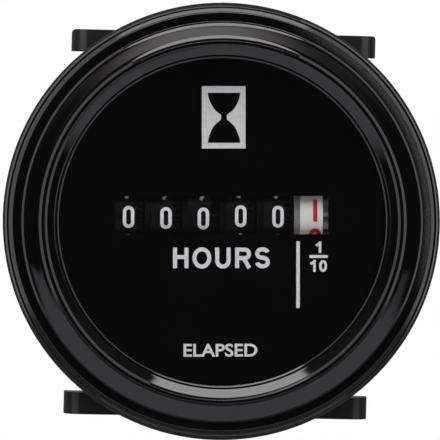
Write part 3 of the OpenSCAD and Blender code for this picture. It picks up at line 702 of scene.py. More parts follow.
class Bench:
    """Hand work on meshes: picking, edit mode and finishing a piece."""

    @staticmethod
    def pick(*objects: Object) -> None:
        """Select these objects alone, the first one active."""
        bpy.ops.object.select_all(action="DESELECT")
        for item in objects:
            item.select_set(True)
        bpy.context.view_layer.objects.active = objects[0]

    @staticmethod
    def fresh(operator: Callable[..., set[str]], **settings: object) -> Object:
        """Add an object by an operator, with nothing else selected.

        Args:
            operator: the operator that adds it.
            settings: the operator's options.

        Returns:
            The new object.
        """
        bpy.ops.object.select_all(action="DESELECT")
        operator(**settings)
        return bpy.context.view_layer.objects.active

    @classmethod
    def meshed(cls, obj: Object) -> Object:
        """Turn a curve or a text into a mesh.

        Args:
            obj: the curve or text.

        Returns:
            The mesh object.
        """
        cls.pick(obj)
        bpy.ops.object.convert(target="MESH")
        return bpy.context.view_layer.objects.active

    @classmethod
    @contextmanager
    def editing(cls, obj: Object) -> Iterator[None]:
        """Open one mesh in edit mode with all of it selected.

        Args:
            obj: the mesh object.
        """
        cls.pick(obj)
        bpy.ops.object.mode_set(mode="EDIT")
        bpy.ops.mesh.select_all(action="SELECT")
        yield
        bpy.ops.object.mode_set(mode="OBJECT")

    @classmethod
    def clean(cls, obj: Object, reach_mm: float = 0.001) -> None:
        """Merge doubles and turn the faces outwards.

        Args:
            obj: the mesh object.
            reach_mm: how close points merge.
        """
        with cls.editing(obj):
            bpy.ops.mesh.remove_doubles(threshold=reach_mm * MM)
            bpy.ops.mesh.normals_make_consistent(inside=False)

    @classmethod
    def turn(cls, obj: Object, wrong: Callable[[bpy.types.MeshPolygon], bool]) -> None:
        """Turn over the faces that look the wrong way.

        Args:
            obj: the mesh object.
            wrong: says whether a face does.
        """
        with cls.editing(obj):
            bpy.ops.mesh.select_mode(type="FACE")
            bpy.ops.mesh.select_all(action="DESELECT")
        for face in obj.data.polygons:
            face.select = wrong(face)
        cls.pick(obj)
        bpy.ops.object.mode_set(mode="EDIT")
        bpy.ops.mesh.flip_normals()
        bpy.ops.mesh.select_mode(type="VERT")
        bpy.ops.object.mode_set(mode="OBJECT")

    @classmethod
    def join(cls, pieces: list[Object]) -> Object:
        """Join several meshes into the first.

        Args:
            pieces: the meshes.

        Returns:
            The joined object.
        """
        cls.pick(*pieces)
        if len(pieces) > 1:
            bpy.ops.object.join()
        return bpy.context.view_layer.objects.active

    @classmethod
    def apply(cls, obj: Object, kind: str, **settings: object) -> None:
        """Add a modifier and apply it.

        Args:
            obj: the mesh object.
            kind: the modifier's type.
            settings: its options.
        """
        cls.pick(obj)
        modifier = obj.modifiers.new(kind.lower(), kind)
        for name, setting in settings.items():
            setattr(modifier, name, setting)
        bpy.ops.object.modifier_apply(modifier=modifier.name)

    @classmethod
    def twin(cls, obj: Object) -> Object:
        """Copy a piece with a mesh of its own.

        Args:
            obj: the piece.

        Returns:
            The copy.
        """
        cls.pick(obj)
        bpy.ops.object.duplicate(linked=False)
        return bpy.context.view_layer.objects.active

    @classmethod
    def plate(cls, across: Point, along: Point, round_mm: float, segments: int) -> Object:
        """Make a flat rectangle in the XY plane with rounded corners.

        Args:
            across: where it starts and ends along X, in mm.
            along: where it starts and ends along Y.
            round_mm: its corners' rounding.
            segments: how many steps each corner has.

        Returns:
            The flat mesh.
        """
        obj = cls.fresh(bpy.ops.mesh.primitive_plane_add, size=1)
        middle = (sum(across) / 2 * MM, sum(along) / 2 * MM, 0)
        size = ((across[1] - across[0]) * MM, (along[1] - along[0]) * MM, 1, 1)
        obj.data.transform(Matrix.Translation(middle) @ Matrix.Diagonal(size))
        with cls.editing(obj):
            bpy.ops.mesh.bevel(offset=round_mm * MM, segments=segments, affect="VERTICES")
        return obj

    @classmethod
    def spin(cls, obj: Object, steps: int) -> None:
        """Turn a section once round the Y axis.

        Args:
            obj: the section, in the XY plane.
            steps: how many steps the turn has.
        """
        with cls.editing(obj):
            bpy.ops.mesh.spin(steps=steps, angle=2 * math.pi, center=(0, 0, 0), axis=(0, 1, 0))
        cls.clean(obj)

    @classmethod
    def settle(
        cls, obj: Object, name: str, body: str, slot: str, material: Material, smooth: float = 30
    ) -> Object:
        """Name, dress and mount a finished piece.

        Args:
            obj: the piece, with its place in its mesh.
            name: its name.
            body: the body that it rides.
            slot: the record's finish that it would take; not used.
            material: its material.
            smooth: the angle up to which its faces shade smoothly, in degrees.

        Returns:
            The piece.
        """
        cls.pick(obj)
        bpy.ops.object.transform_apply(location=True, rotation=True, scale=True)
        bpy.ops.object.shade_smooth_by_angle(angle=math.radians(smooth))
        obj.name = name
        obj.data.name = name
        obj.data.materials.clear()
        obj.data.materials.append(material)
        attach(obj, body)
        LOG.info("%s: %d faces on %s", name, len(obj.data.polygons), body)
        return obj


def dress(nodes: dict[str, Object], names: list[str], material: Material) -> None:
    """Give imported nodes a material.

    Args:
        nodes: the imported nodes.
        names: which of them.
        material: their material.
    """
    for name in names:
        for slot in nodes[name].material_slots:
            slot.material = material
        LOG.info("%s: dressed in %s", name, material.name)


def arc(centre: Point, radius: Point, start: float, end: float, fine: int = 14) -> list[Point]:
    """Points along part of an ellipse.

    Args:
        centre: its centre.
        radius: its two half-widths.
        start: the first angle, in degrees.
        end: the last angle.
        fine: how many steps half a turn has.

    Returns:
        The points.
    """
    steps = max(2, round(fine * abs(end - start) / 180))
    angles = [math.radians(start + (end - start) * k / steps) for k in range(steps + 1)]
    return [(centre[0] + radius[0] * math.cos(a), centre[1] + radius[1] * math.sin(a)) for a in angles]


@dataclass(frozen=True)
class Pen:
    """A flat pen that draws lines as ribbons in the XY plane."""

    stroke_mm: float
    step_mm: float = 0.2
    level_mm: float = 0.002

    def draw(self, name: str, lines: list[Line]) -> Object:
        """Draw lines as one flat mesh, in metres.

        Args:
            name: the object's name.
            lines: whether each is closed, and its points in mm.

        Returns:
            The mesh object.
        """
        ribbons = []
        for level, (closed, points) in enumerate(lines):
            ribbon = self.ribbon(name, self.even(points, closed), closed)
            ribbon.data.transform(Matrix.Translation((0, 0, level * self.level_mm * MM)))
            ribbons.append(ribbon)
        return Bench.join(ribbons)

    def ribbon(self, name: str, points: list[Point], closed: bool) -> Object:
        """Draw one stroke.

        Args:
            name: the object's name.
            points: its points, in mm.
            closed: whether it returns to its start.

        Returns:
            The flat mesh.
        """
        half = self.stroke_mm / 2
        curve = self.trace(name, [(closed, points)])
        nib = bpy.data.objects.new("nib", self.trace("nib", [(False, [(-half, 0), (half, 0)])]))
        bpy.context.scene.collection.objects.link(nib)
        curve.bevel_mode = "OBJECT"
        curve.bevel_object = nib
        obj = self.shape(curve)
        bpy.data.objects.remove(nib)
        return obj

    @staticmethod
    def trace(name: str, lines: list[Line], fill: str = "NONE") -> bpy.types.Curve:
        """Start a flat curve of straight stretches.

        Args:
            name: the curve's name.
            lines: whether each is closed, and its points in mm.
            fill: which of its sides are filled.

        Returns:
            The curve.
        """
        curve = bpy.data.curves.new(name, "CURVE")
        curve.dimensions = "2D"
        curve.fill_mode = fill
        for closed, points in lines:
            spline = curve.splines.new("POLY")
            spline.points.add(len(points) - 1)
            for spot, (x, y) in zip(spline.points, points):
                spot.co = (x * MM, y * MM, 0, 1)
            spline.use_cyclic_u = closed
        return curve

    @staticmethod
    def shape(curve: bpy.types.Curve) -> Object:
        """Turn a traced curve into a mesh.

        Args:
            curve: the curve.

        Returns:
            The mesh object.
        """
        obj = bpy.data.objects.new(curve.name, curve)
        bpy.context.scene.collection.objects.link(obj)
        return Bench.meshed(obj)

    def even(self, points: list[Point], closed: bool) -> list[Point]:
        """Add points along long straight stretches.

        Args:
            points: the corners.
            closed: whether the line returns to its start.

        Returns:
            The denser points.
        """
        found: list[Point] = []
        ends = points[1:] + points[:1] if closed else points[1:]
        for (x0, y0), (x1, y1) in zip(points, ends):
            parts = max(1, math.ceil(math.hypot(x1 - x0, y1 - y0) / self.step_mm))
            found += [(x0 + (x1 - x0) * k / parts, y0 + (y1 - y0) * k / parts) for k in range(parts)]
        return found if closed else found + [points[-1]]


@dataclass(frozen=True)
class Digits:
    """The ten digits, each on a cell centred at 0."""

    pen: Pen
    width_mm: float
    height_mm: float

    def lines(self, digit: int) -> list[Line]:
        """The centre lines of a digit.

        Args:
            digit: from 0 to 9.

        Returns:
            Its strokes: whether each is closed, and its points.
        """
        end = self.pen.stroke_mm / 2
        a = self.width_mm / 2 - end
        b = self.height_mm / 2 - end
        top, low = b - a, a - b
        bowl = (True, arc((0, top), (a, a), 0, 360)[:-1])
        tail = (False, [(a - 0.02, top - 0.12), (a * 0.83, top - 0.5), (-a * 0.62, -b - end * 0.6)])
        if digit == 0:
            return [(True, arc((0, top), (a, a), 0, 180) + arc((0, low), (a, a), 180, 360))]
        if digit == 1:
            return [(False, [(0, b + end), (0, -b - end)])]
        if digit == 2:
            return [(False, arc((0, top), (a, a), 192, -25) + [(-a, -b), (a + end, -b)])]
        if digit == 3:
            upper = arc((0, b * 0.52), (a * 0.92, b * 0.48), 160, -85)
            lower = arc((0, -b * 0.48), (a, b * 0.52), 85, -160)
            return [(False, upper), (False, lower)]
        if digit == 4:
            flag = [(0.12, b + end), (-a, -0.45), (a + end, -0.45)]
            return [(False, flag), (False, [(0.3, 0.35), (0.3, -b - end)])]
        if digit == 5:
            curve = arc((0, -b * 0.42), (a, b * 0.58), 115, -160)
            return [(False, [(a + end * 0.4, b), (-a * 0.8, b), (-a * 0.92, 0.05)] + curve)]
        if digit == 6:
            return [(closed, [(-x, -y) for x, y in points]) for closed, points in (bowl, tail)]
        if digit == 7:
            return [(False, [(-a - end, b), (a, b), (-a * 0.3, -b - end)])]
        if digit == 8:
            small = arc((0, b * 0.53), (a * 0.86, b * 0.47), 0, 360)[:-1]
            large = arc((0, -b * 0.47), (a, b * 0.53), 0, 360)[:-1]
            return [(True, small), (True, large)]
        return [bowl, tail]

    def build(self) -> list[Object]:
        """Draw all ten as flat meshes in the XY plane.

        Returns:
            The mesh objects.
        """
        return [self.pen.draw(f"digit_{digit}", self.lines(digit)) for digit in range(10)]


@dataclass
class Counter:
    """The six number wheels with their printed digits."""

    nodes: dict[str, Object]
    wheels: tuple[str, ...] = (
        "ten_thousands_wheel",
        "thousands_wheel",
        "hundreds_wheel",
        "tens_wheel",
        "units_wheel",
        "tenths_wheel",
    )
    shown: tuple[int, ...] = (0, 0, 0, 0, 0, 1)
    turn_deg: tuple[float, ...] = (-2.1, -3.5, -4.2, -1.4, -2.1, 5.6)
    axis_mm: Point = (6.2, 0.86)
    drum_mm: float = 6.3
    pitch_mm: float = 5.065
    shift_mm: float = 0.07
    digit_deg: float = 36
    lift_mm: float = 0.004
    film_mm: float = 0.03
    hour_digits: Digits = Digits(Pen(0.46), width_mm=1.56, height_mm=3.0)
    tenth_digits: Digits = Digits(Pen(0.57), width_mm=1.6, height_mm=3.0)

    def lay(self, flat: Object, centre: float, angle: float) -> Object:
        """Lay a copy of a flat digit on a drum.

        Args:
            flat: the digit in the XY plane.
            centre: the drum's middle along X, in mm.
            angle: how far above the front it sits, in degrees.

        Returns:
            The laid copy.
        """
        piece = Bench.twin(flat)
        for point in piece.data.vertices:
            around = math.radians(angle) + point.co.y / (self.drum_mm * MM)
            reach = (self.drum_mm + self.lift_mm) * MM + point.co.z
            point.co = (
                centre * MM + point.co.x,
                self.axis_mm[0] * MM - reach * math.cos(around),
                self.axis_mm[1] * MM + reach * math.sin(around),
            )
        return piece

    def build(self, white: Material, red: Material) -> None:
        """Print all the drums.

        Args:
            white: the ink on the hour drums.
            red: the ink on the tenths drum.
        """
        hours = self.hour_digits.build()
        tenths = self.tenth_digits.build()
        middle = (len(self.wheels) - 1) / 2
        for place, wheel in enumerate(self.wheels):
            last = wheel == self.wheels[-1]
            centre = (place - middle) * self.pitch_mm + self.shift_mm
            laid = [
                self.lay(flat, centre, self.turn_deg[place] - self.digit_deg * (digit - self.shown[place]))
                for digit, flat in enumerate(tenths if last else hours)
            ]
            piece = Bench.join(laid)
            self.thicken(piece)
            Bench.settle(piece, f"{wheel}_digits", wheel, "white_wheel", red if last else white)
        for item in hours + tenths:
            bpy.data.objects.remove(item)

    def thicken(self, piece: Object) -> None:
        """Give the laid digits the thickness of their ink, outwards.

        Args:
            piece: the digits of one drum.
        """
        axis = Vector((0, self.axis_mm[0] * MM, self.axis_mm[1] * MM))
        Bench.turn(piece, lambda face: face.normal.dot(Vector((0, *(face.center - axis).yz))) < 0)
        Bench.apply(piece, "SOLIDIFY", thickness=self.film_mm * MM, offset=1.0)

    def dress(self, black: Material, white: Material) -> None:
        """Dress the wheels.

        Args:
            black: the hour wheels' finish.
            white: the tenths wheel's finish.
        """
        dress(self.nodes, list(self.wheels[:-1]), black)
        dress(self.nodes, [self.wheels[-1]], white)


@dataclass(frozen=True)
class Box:
    """A place on the dial, in mm from its centre."""

    left: float
    right: float
    low: float
    high: float


@dataclass
class Dial:
    """The dial's printed marks."""

    front_mm: float = -1.0
    film_mm: float = 0.03
    plate: Box = Box(-2.71, 3.2, 9.9, 18.32)
    rule: Box = Box(10.09, 10.56, -11.72, -2.66)
    bar: Box = Box(11.88, 14.37, -4.93, -4.54)
    lower: tuple[str, Box] = ("ELAPSED", Box(-5.2, 4.81, -18.3, -16.52))
    lower_bold: float = 0.021
    word_pen: Pen = Pen(0.55)
    figure_pen: Pen = Pen(0.35)
    rule_round_mm: float = 0.04
    bar_round_mm: float = 0.12
    corner_steps: int = 3

    def hours(self) -> list[Line]:
        """Draw the centre lines of the word under the counter.

        Returns:
            Its strokes: whether each is closed, and its points.
        """
        half = self.word_pen.stroke_mm / 2
        low, high = -6.28 + half, -3.5 - half
        foot, top = low - half, high + half
        middle = (low + high) / 2
        left, right, bar = -6.62 + half, -4.52 - half, -4.77
        lines: list[Line] = [(False, [(x, top), (x, foot)]) for x in (left, right)]
        lines.append((False, [(left, bar), (right, bar)]))
        oval = (1.28 - half, (high - low) / 2 + 0.05)
        lines.append((True, arc((-2.71, middle - 0.01), oval, 0, 360, 24)[:-1]))
        centre, bowl = 0.135, 1.045 - half
        cup = arc((centre, low - 0.06 + bowl), (bowl, bowl), 180, 360)
        lines.append((False, [(centre - bowl, top)] + cup + [(centre + bowl, top)]))
        stem, turn = 1.79 + half, (high + middle) / 2 - 0.02
        reach, waist = (high - turn) * 0.98, 2 * turn - high
        belly = arc((3.68 - reach, turn), (reach, high - turn), 90, -90)
        lines.append((False, [(stem, top), (stem, foot)]))
        lines.append((False, [(stem, high)] + belly + [(stem, waist)]))
        lines.append((False, [(2.95, waist), (3.72, foot)]))
        quarter = (high - low) / 4 + 0.02
        hook = (1.0 - half, quarter)
        upper = arc((5.5, middle + quarter), hook, 18, 262)
        under = arc((5.5, middle - quarter), hook, 82, -172)
        lines.append((False, upper + under))
        return lines

    def fraction(self) -> list[Line]:
        """Draw the centre lines of the figures of one tenth.

        Returns:
            Their strokes: whether each is closed, and its points.
        """
        return [
            (False, [(13.31, -2.7), (13.31, -4.25)]),
            (False, [(13.34, -2.88), (13.06, -3.1), (12.76, -3.26)]),
            (False, [(12.55, -5.18), (12.55, -6.81)]),
            (False, [(12.58, -5.36), (12.3, -5.58), (12.0, -5.74)]),
            (True, arc((13.73, -6.02), (0.37, 0.63), 0, 360, 20)[:-1]),
        ]

    def stand(self, obj: Object) -> Object:
        """Stand a flat mark from the XY plane up on the dial's front and give it its film.

        Args:
            obj: the flat mesh.

        Returns:
            The mark on the dial.
        """
        obj.data.transform(Matrix.Rotation(math.radians(90), 4, "X"))
        obj.data.transform(Matrix.Translation((0, self.front_mm * MM, 0)))
        Bench.clean(obj)
        Bench.turn(obj, lambda face: face.normal.y > 0)
        Bench.apply(obj, "SOLIDIFY", thickness=self.film_mm * MM, offset=1.0)
        return obj

    @staticmethod
    def letter(text: str, box: Box, bold: float) -> Object:
        """Set a word or letter in a box.

        Args:
            text: what it says.
            box: the place that it fills.
            bold: how much its strokes are fattened.

        Returns:
            The flat mesh in the XY plane.
        """
        obj = Bench.fresh(bpy.ops.object.text_add)
        obj.data.body = text
        obj.data.offset = bold
        obj.data.resolution_u = 5
        obj = Bench.meshed(obj)
        xs = [p.co.x for p in obj.data.vertices]
        ys = [p.co.y for p in obj.data.vertices]
        scale_x = (box.right - box.left) * MM / (max(xs) - min(xs))
        scale_y = (box.high - box.low) * MM / (max(ys) - min(ys))
        obj.data.transform(Matrix.Translation((-min(xs), -min(ys), 0)))
        obj.data.transform(Matrix.Diagonal((scale_x, scale_y, 1, 1)))
        obj.data.transform(Matrix.Translation((box.left * MM, box.low * MM, 0)))
        return obj

    def panel(self, box: Box, round_mm: float) -> Object:
        """A flat bar with slightly rounded corners, in the XY plane."""
        return Bench.plate((box.left, box.right), (box.low, box.high), round_mm, self.corner_steps)

    def hourglass(self) -> Object:
        """A light plate with an open hourglass, as one flat curve with a hole.

        Returns:
            The flat mesh in the XY plane.
        """
        box = self.plate
        middle = 0.29
        right = [
            (2.2, 17.42), (2.13, 16.9), (1.99, 16.46), (1.7, 15.78), (1.24, 15.1), (0.74, 14.7),
            (0.47, 14.5), (0.38, 14.3), (0.38, 13.95), (0.47, 13.74), (0.8, 13.5), (1.32, 13.02),
            (1.74, 12.32), (1.99, 11.62), (2.12, 11.2), (2.19, 10.66),
        ]
        outline = [(middle + x, y) for x, y in right] + [(middle - x, y) for x, y in reversed(right)]
        plate = [(box.left, box.low), (box.right, box.low), (box.right, box.high), (box.left, box.high)]
        return Pen.shape(Pen.trace("hourglass", [(True, plate), (True, outline)], "BOTH"))

    def build(self, ink: Material) -> None:
        """Print the dial.

        Args:
            ink: the marks' ink.
        """
        marks = {
            "hourglass_mark": [self.hourglass()],
            "hours_word": [self.word_pen.draw("hours", self.hours())],
            "hours_rule": [self.panel(self.rule, self.rule_round_mm)],
            "tenths_fraction": [
                self.figure_pen.draw("fraction", self.fraction()),
                self.panel(self.bar, self.bar_round_mm),
            ],
            "elapsed_word": [self.letter(*self.lower, self.lower_bold)],
        }
        for name, flats in marks.items():
            piece = self.stand(Bench.join(flats))
            Bench.settle(piece, name, "housing", "white_wheel", ink)


@dataclass
class Fixings:
    """The threaded studs, nuts and washers behind the case."""

    stud_x_mm: float = 15.0
    core_r_mm: float = 1.62
    crest_r_mm: float = 1.98
    pitch_mm: float = 0.7
    sunk_mm: float = 0.05
    groove_mm: float = 0.02
    plain_mm: Point = (2.0, 0.3)
    tip_mm: float = 0.35
    head_mm: float = 1.0
    head_round_mm: float = 0.15
    head_sunk_mm: float = 0.3
    nut_flats_mm: float = 7.0
    nut_round_mm: float = 0.34
    nut_play_mm: float = 0.02
    washer_r_mm: float = 2.12
    washer_round_mm: float = 0.12
    corner_steps: int = 2
    turn_steps: int = 60
    core_steps: int = 40
    thread_steps: int = 28

    def ring(self, inner: float, outer: float, low: float, high: float, corner: float) -> Object:
        """Turn a ring round Y from a small section.

        Args:
            inner: its bore's radius, in mm.
            outer: its outer radius.
            low: where it starts along Y.
            high: where it ends.
            corner: the bevel of its edges.

        Returns:
            The ring.
        """
        obj = Bench.plate((inner, outer), (low, high), corner, self.corner_steps)
        with Bench.editing(obj):
            bpy.ops.mesh.delete(type="ONLY_FACE")
        Bench.spin(obj, self.turn_steps)
        return obj

    def pair(self, obj: Object) -> Object:
        """Set a piece and its copy on the two stud axes.

        Args:
            obj: the piece on the Y axis.

        Returns:
            Both, joined.
        """
        other = Bench.twin(obj)
        obj.data.transform(Matrix.Translation((self.stud_x_mm * MM, 0, 0)))
        other.data.transform(Matrix.Translation((-self.stud_x_mm * MM, 0, 0)))
        return Bench.join([obj, other])

    def washers(self, steel: Material) -> None:
        """Make the washers with their stamped edges.

        Args:
            steel: their finish.
        """
        low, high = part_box("washers")
        outer = (high.z - low.z) / 2 / MM
        ring = self.ring(self.washer_r_mm, outer, low.y / MM, high.y / MM, self.washer_round_mm)
        piece = self.pair(ring)
        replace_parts(Bench.settle(piece, "flat_washers", "housing", "steel", steel), "washers")

    def nuts(self, steel: Material) -> None:
        """Make the nuts: turned with chamfers, then cut to six flats.

        Args:
            steel: their finish.
        """
        low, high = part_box("nuts")
        corner = self.nut_flats_mm / 2 / math.cos(math.radians(30))
        bore = self.crest_r_mm + self.nut_play_mm
        obj = self.ring(bore, corner, low.y / MM, high.y / MM, self.nut_round_mm)
        for side in range(6):
            angle = math.radians(60 * side + 30)
            out = Vector((math.cos(angle), 0, math.sin(angle)))
            with Bench.editing(obj):
                bpy.ops.mesh.bisect(
                    plane_co=out * self.nut_flats_mm / 2 * MM, plane_no=out, use_fill=True, clear_outer=True
                )
        Bench.clean(obj)
        piece = self.pair(obj)
        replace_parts(Bench.settle(piece, "hex_nuts", "housing", "steel", steel), "nuts")

    def studs(self, steel: Material) -> None:
        """Make the studs: a core with a chamfered end and a wound thread.

        Args:
            steel: their finish.
        """
        low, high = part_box("studs")
        start, end = low.y / MM, high.y / MM
        head = (high.z - low.z) / 2 / MM
        core = Bench.fresh(
            bpy.ops.mesh.primitive_cylinder_add,
            vertices=self.core_steps,
            radius=self.core_r_mm * MM,
            depth=(end - start) * MM,
            rotation=(math.radians(90), 0, 0),
        )
        bpy.ops.object.transform_apply(location=True, rotation=True, scale=True)
        core.data.transform(Matrix.Translation((0, (start + end) / 2 * MM, 0)))
        with Bench.editing(core):
            bpy.ops.mesh.select_all(action="DESELECT")
        for face in core.data.polygons:
            face.select = face.normal.y > 0.9
        for edge in core.data.edges:
            edge.select = all(core.data.vertices[v].co.y > (end - 0.01) * MM for v in edge.vertices)
        Bench.pick(core)
        bpy.ops.object.mode_set(mode="EDIT")
        bpy.ops.mesh.bevel(offset=self.tip_mm * MM, segments=1, affect="EDGES")
        bpy.ops.object.mode_set(mode="OBJECT")
        inner = self.core_r_mm - self.head_sunk_mm
        flange = self.ring(inner, head, start, start + self.head_mm, self.head_round_mm)
        thread = self.thread(start + self.plain_mm[0], end - self.plain_mm[1])
        piece = self.pair(Bench.join([core, thread, flange]))
        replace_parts(Bench.settle(piece, "threaded_studs", "housing", "steel", steel), "studs")

    def thread(self, start: float, end: float) -> Object:
        """Wind a thread round the Y axis.

        Args:
            start: where it starts along Y, in mm.
            end: where it ends.

        Returns:
            The thread's ridge.
        """
        turns = int((end - start) / self.pitch_mm) - 1
        obj = Bench.fresh(bpy.ops.mesh.primitive_circle_add, vertices=3, radius=1.0)
        root = self.core_r_mm - self.sunk_mm
        corners = [
            (root, start + self.groove_mm),
            (self.crest_r_mm, start + self.pitch_mm / 2),
            (root, start + self.pitch_mm - self.groove_mm),
        ]
        for point, (x, y) in zip(obj.data.vertices, corners):
            point.co = (x * MM, y * MM, 0)
        Bench.apply(
            obj,
            "SCREW",
            axis="Y",
            angle=2 * math.pi,
            screw_offset=self.pitch_mm * MM,
            iterations=turns,
            steps=self.thread_steps,
            render_steps=self.thread_steps,
            use_merge_vertices=False,
        )
        with Bench.editing(obj):
            bpy.ops.mesh.select_all(action="DESELECT")
            bpy.ops.mesh.select_non_manifold()
            bpy.ops.mesh.edge_face_add()
        Bench.clean(obj)
        return obj


@dataclass
class Studio:
    """Camera, surroundings and floor."""

    azimuth_deg: float = -2.8
    rise_deg: float = 1.8
    distance_m: float = 0.5
    lens_mm: float = 301.5
    sensor_mm: float = 36
    near_m: float = 0.01
    aim_mm: Triple = (-0.175, 0.0, 0.18)
    gloom: Colour = (0.031, 0.03, 0.029)
    ceiling: Colour = (0.06, 0.06, 0.06)
    panel: Colour = (2.15, 2.08, 2.0)
    wall: Colour = (1.3, 1.3, 1.3)
    strip_front: Colour = (5.2, 5.15, 5.1)
    strip_back: Colour = (2.6, 2.6, 2.6)
    low_glow: Colour = (0.6, 0.61, 0.66)
    white: Colour = (1.0, 1.0, 1.0)
    floor_z_m: float = -0.1
    floor_size_m: Point = (0.5, 1.4)
    floor_tones: tuple[Colour, Colour] = ((0.42, 0.43, 0.46), (0.46, 0.47, 0.5))
    # Painted shadow behind the object: its colour, and where it begins along Y.
    floor_painted_shadow: Colour = (0.01, 0.01, 0.01)
    floor_painted_shadow_m: Point = (-0.006, -0.0145)
    floor_fade_m: Point = (0.24, 0.13)
    floor_far_m: Point = (0.1, 0.32)

    def camera(self) -> None:
        """Set the camera at the photograph's angle."""
        az, rise = math.radians(self.azimuth_deg), math.radians(self.rise_deg)
        back = Vector((math.sin(az) * math.cos(rise), -math.cos(az) * math.cos(rise), math.sin(rise)))
        aim = Vector(self.aim_mm) * MM
        camera = Bench.fresh(bpy.ops.object.camera_add, location=aim + back * self.distance_m)
        camera.rotation_euler = (-back).to_track_quat("-Z", "Y").to_euler()
        camera.data.lens = self.lens_mm
        camera.data.sensor_width = self.sensor_mm
        camera.data.clip_start = self.near_m
        bpy.context.scene.camera = camera

    def surroundings(self) -> None:
        """Light the set: a strip overhead, a warm panel in front, a white wall behind and dark elsewhere.

        The numbers of each mask are the parts of a direction between which it begins or ends.
        """
        world = bpy.data.worlds.new("studio")
        world.use_nodes = True
        bpy.context.scene.world = world
        graph = Graph(world.node_tree)
        graph.tree.nodes.clear()
        x, y, z = graph.axes(graph.add("ShaderNodeTexCoord").outputs["Generated"])
        wide = graph.sum("ABSOLUTE", x)
        reach = graph.sum("MULTIPLY", graph.sum("SUBTRACT", z, 0.37), 0.9)
        inside = graph.ease(graph.sum("SUBTRACT", reach, wide), -0.04, 0.03)
        strip = graph.both(inside, graph.ease(z, 0.44, 0.52))
        panel = graph.both(
            graph.ease(z, 0.17, 0.33),
            graph.ease(z, 0.5, 0.4),
            graph.ease(wide, 0.27, 0.03, 0.1, 1.0),
            graph.ease(y, -0.7, -0.85),
        )
        skew = graph.sum("SUBTRACT", y, graph.sum("MULTIPLY", x, 0.045))
        wall = graph.both(
            graph.ease(skew, -0.175, -0.135),
            graph.ease(strip, 0.6, 0.1),
            graph.ease(z, -0.6, -0.3),
        )
        light: Feed = self.gloom
        for colour, mask in (
            (self.ceiling, graph.both(graph.ease(z, 0.2, 0.6), graph.ease(y, -0.5, -0.4))),
            (self.panel, panel),
            (self.wall, wall),
            (self.strip_front, graph.both(strip, graph.ease(y, -0.115, -0.18))),
            (self.strip_back, graph.both(strip, graph.ease(y, 0.06, 0.12), graph.ease(y, 0.55, 0.4))),
            (self.low_glow, graph.both(graph.ease(z, -0.125, -0.15), graph.ease(wide, 0.5, 0.35))),
        ):
            share = graph.add("ShaderNodeVectorMath", {0: colour, "Scale": mask}, operation="SCALE")
            lights = {0: light, 1: share.outputs[0]}
            light = graph.add("ShaderNodeVectorMath", lights, operation="ADD").outputs[0]
        path = graph.add("ShaderNodeLightPath")
        mirrored = graph.sum("MAXIMUM", path.outputs["Is Glossy Ray"], path.outputs["Is Transmission Ray"])
        seen = graph.sum("MAXIMUM", path.outputs["Is Camera Ray"], graph.both(mirrored, wall))
        lit = graph.add("ShaderNodeBackground", {"Color": light, "Strength": 1.0})
        white = graph.add("ShaderNodeBackground", {"Color": self.white, "Strength": 1.0})
        mixed = graph.add("ShaderNodeMixShader", {0: seen, 1: lit.outputs[0], 2: white.outputs[0]})
        graph.add("ShaderNodeOutputWorld", {"Surface": mixed.outputs[0]})

    def floor(self) -> None:
        """Lay a pale floor that keeps the shadow, has a painted shadow behind the object, and fades to white
        further out.
        """
        floor = Bench.fresh(bpy.ops.mesh.primitive_plane_add, size=1)
        floor.name = "floor"
        size = Matrix.Diagonal((*self.floor_size_m, 1, 1))
        floor.data.transform(Matrix.Translation((0, 0, self.floor_z_m)) @ size)
        coat = Coat("pale floor")
        graph = coat.graph
        tone = graph.tint(graph.noise(coat.where, 40.0, 3.0), *self.floor_tones)
        x, y, _ = graph.axes(coat.where)
        # Painted shadow: behind the object the floor's colour is darkened, for every ray but camera rays.
        lit = graph.ease(y, *self.floor_painted_shadow_m, 0.2, 1.0)
        path = graph.add("ShaderNodeLightPath")
        lit = graph.sum("MAXIMUM", lit, path.outputs["Is Camera Ray"])
        coat.set(
            Base_Color=graph.tint(lit, self.floor_painted_shadow, tone),
            Alpha=graph.ease(graph.sum("ABSOLUTE", x), *self.floor_fade_m),
            Roughness=0.9,
            Specular_IOR_Level=0.1,
        )
        away = graph.measure("LENGTH", coat.where)
        seen = graph.sum("MAXIMUM", path.outputs["Is Camera Ray"], path.outputs["Is Transmission Ray"])
        far = graph.both(graph.ease(away, *self.floor_far_m), seen)
        coat.cover(far, graph.add("ShaderNodeEmission", {"Color": self.white, "Strength": 1.0}))
        floor.data.materials.append(coat.material)

    def build(self) -> None:
        """Set the whole studio."""
        self.camera()
        self.surroundings()
        self.floor()
        bpy.context.scene.view_settings.view_transform = "Standard"


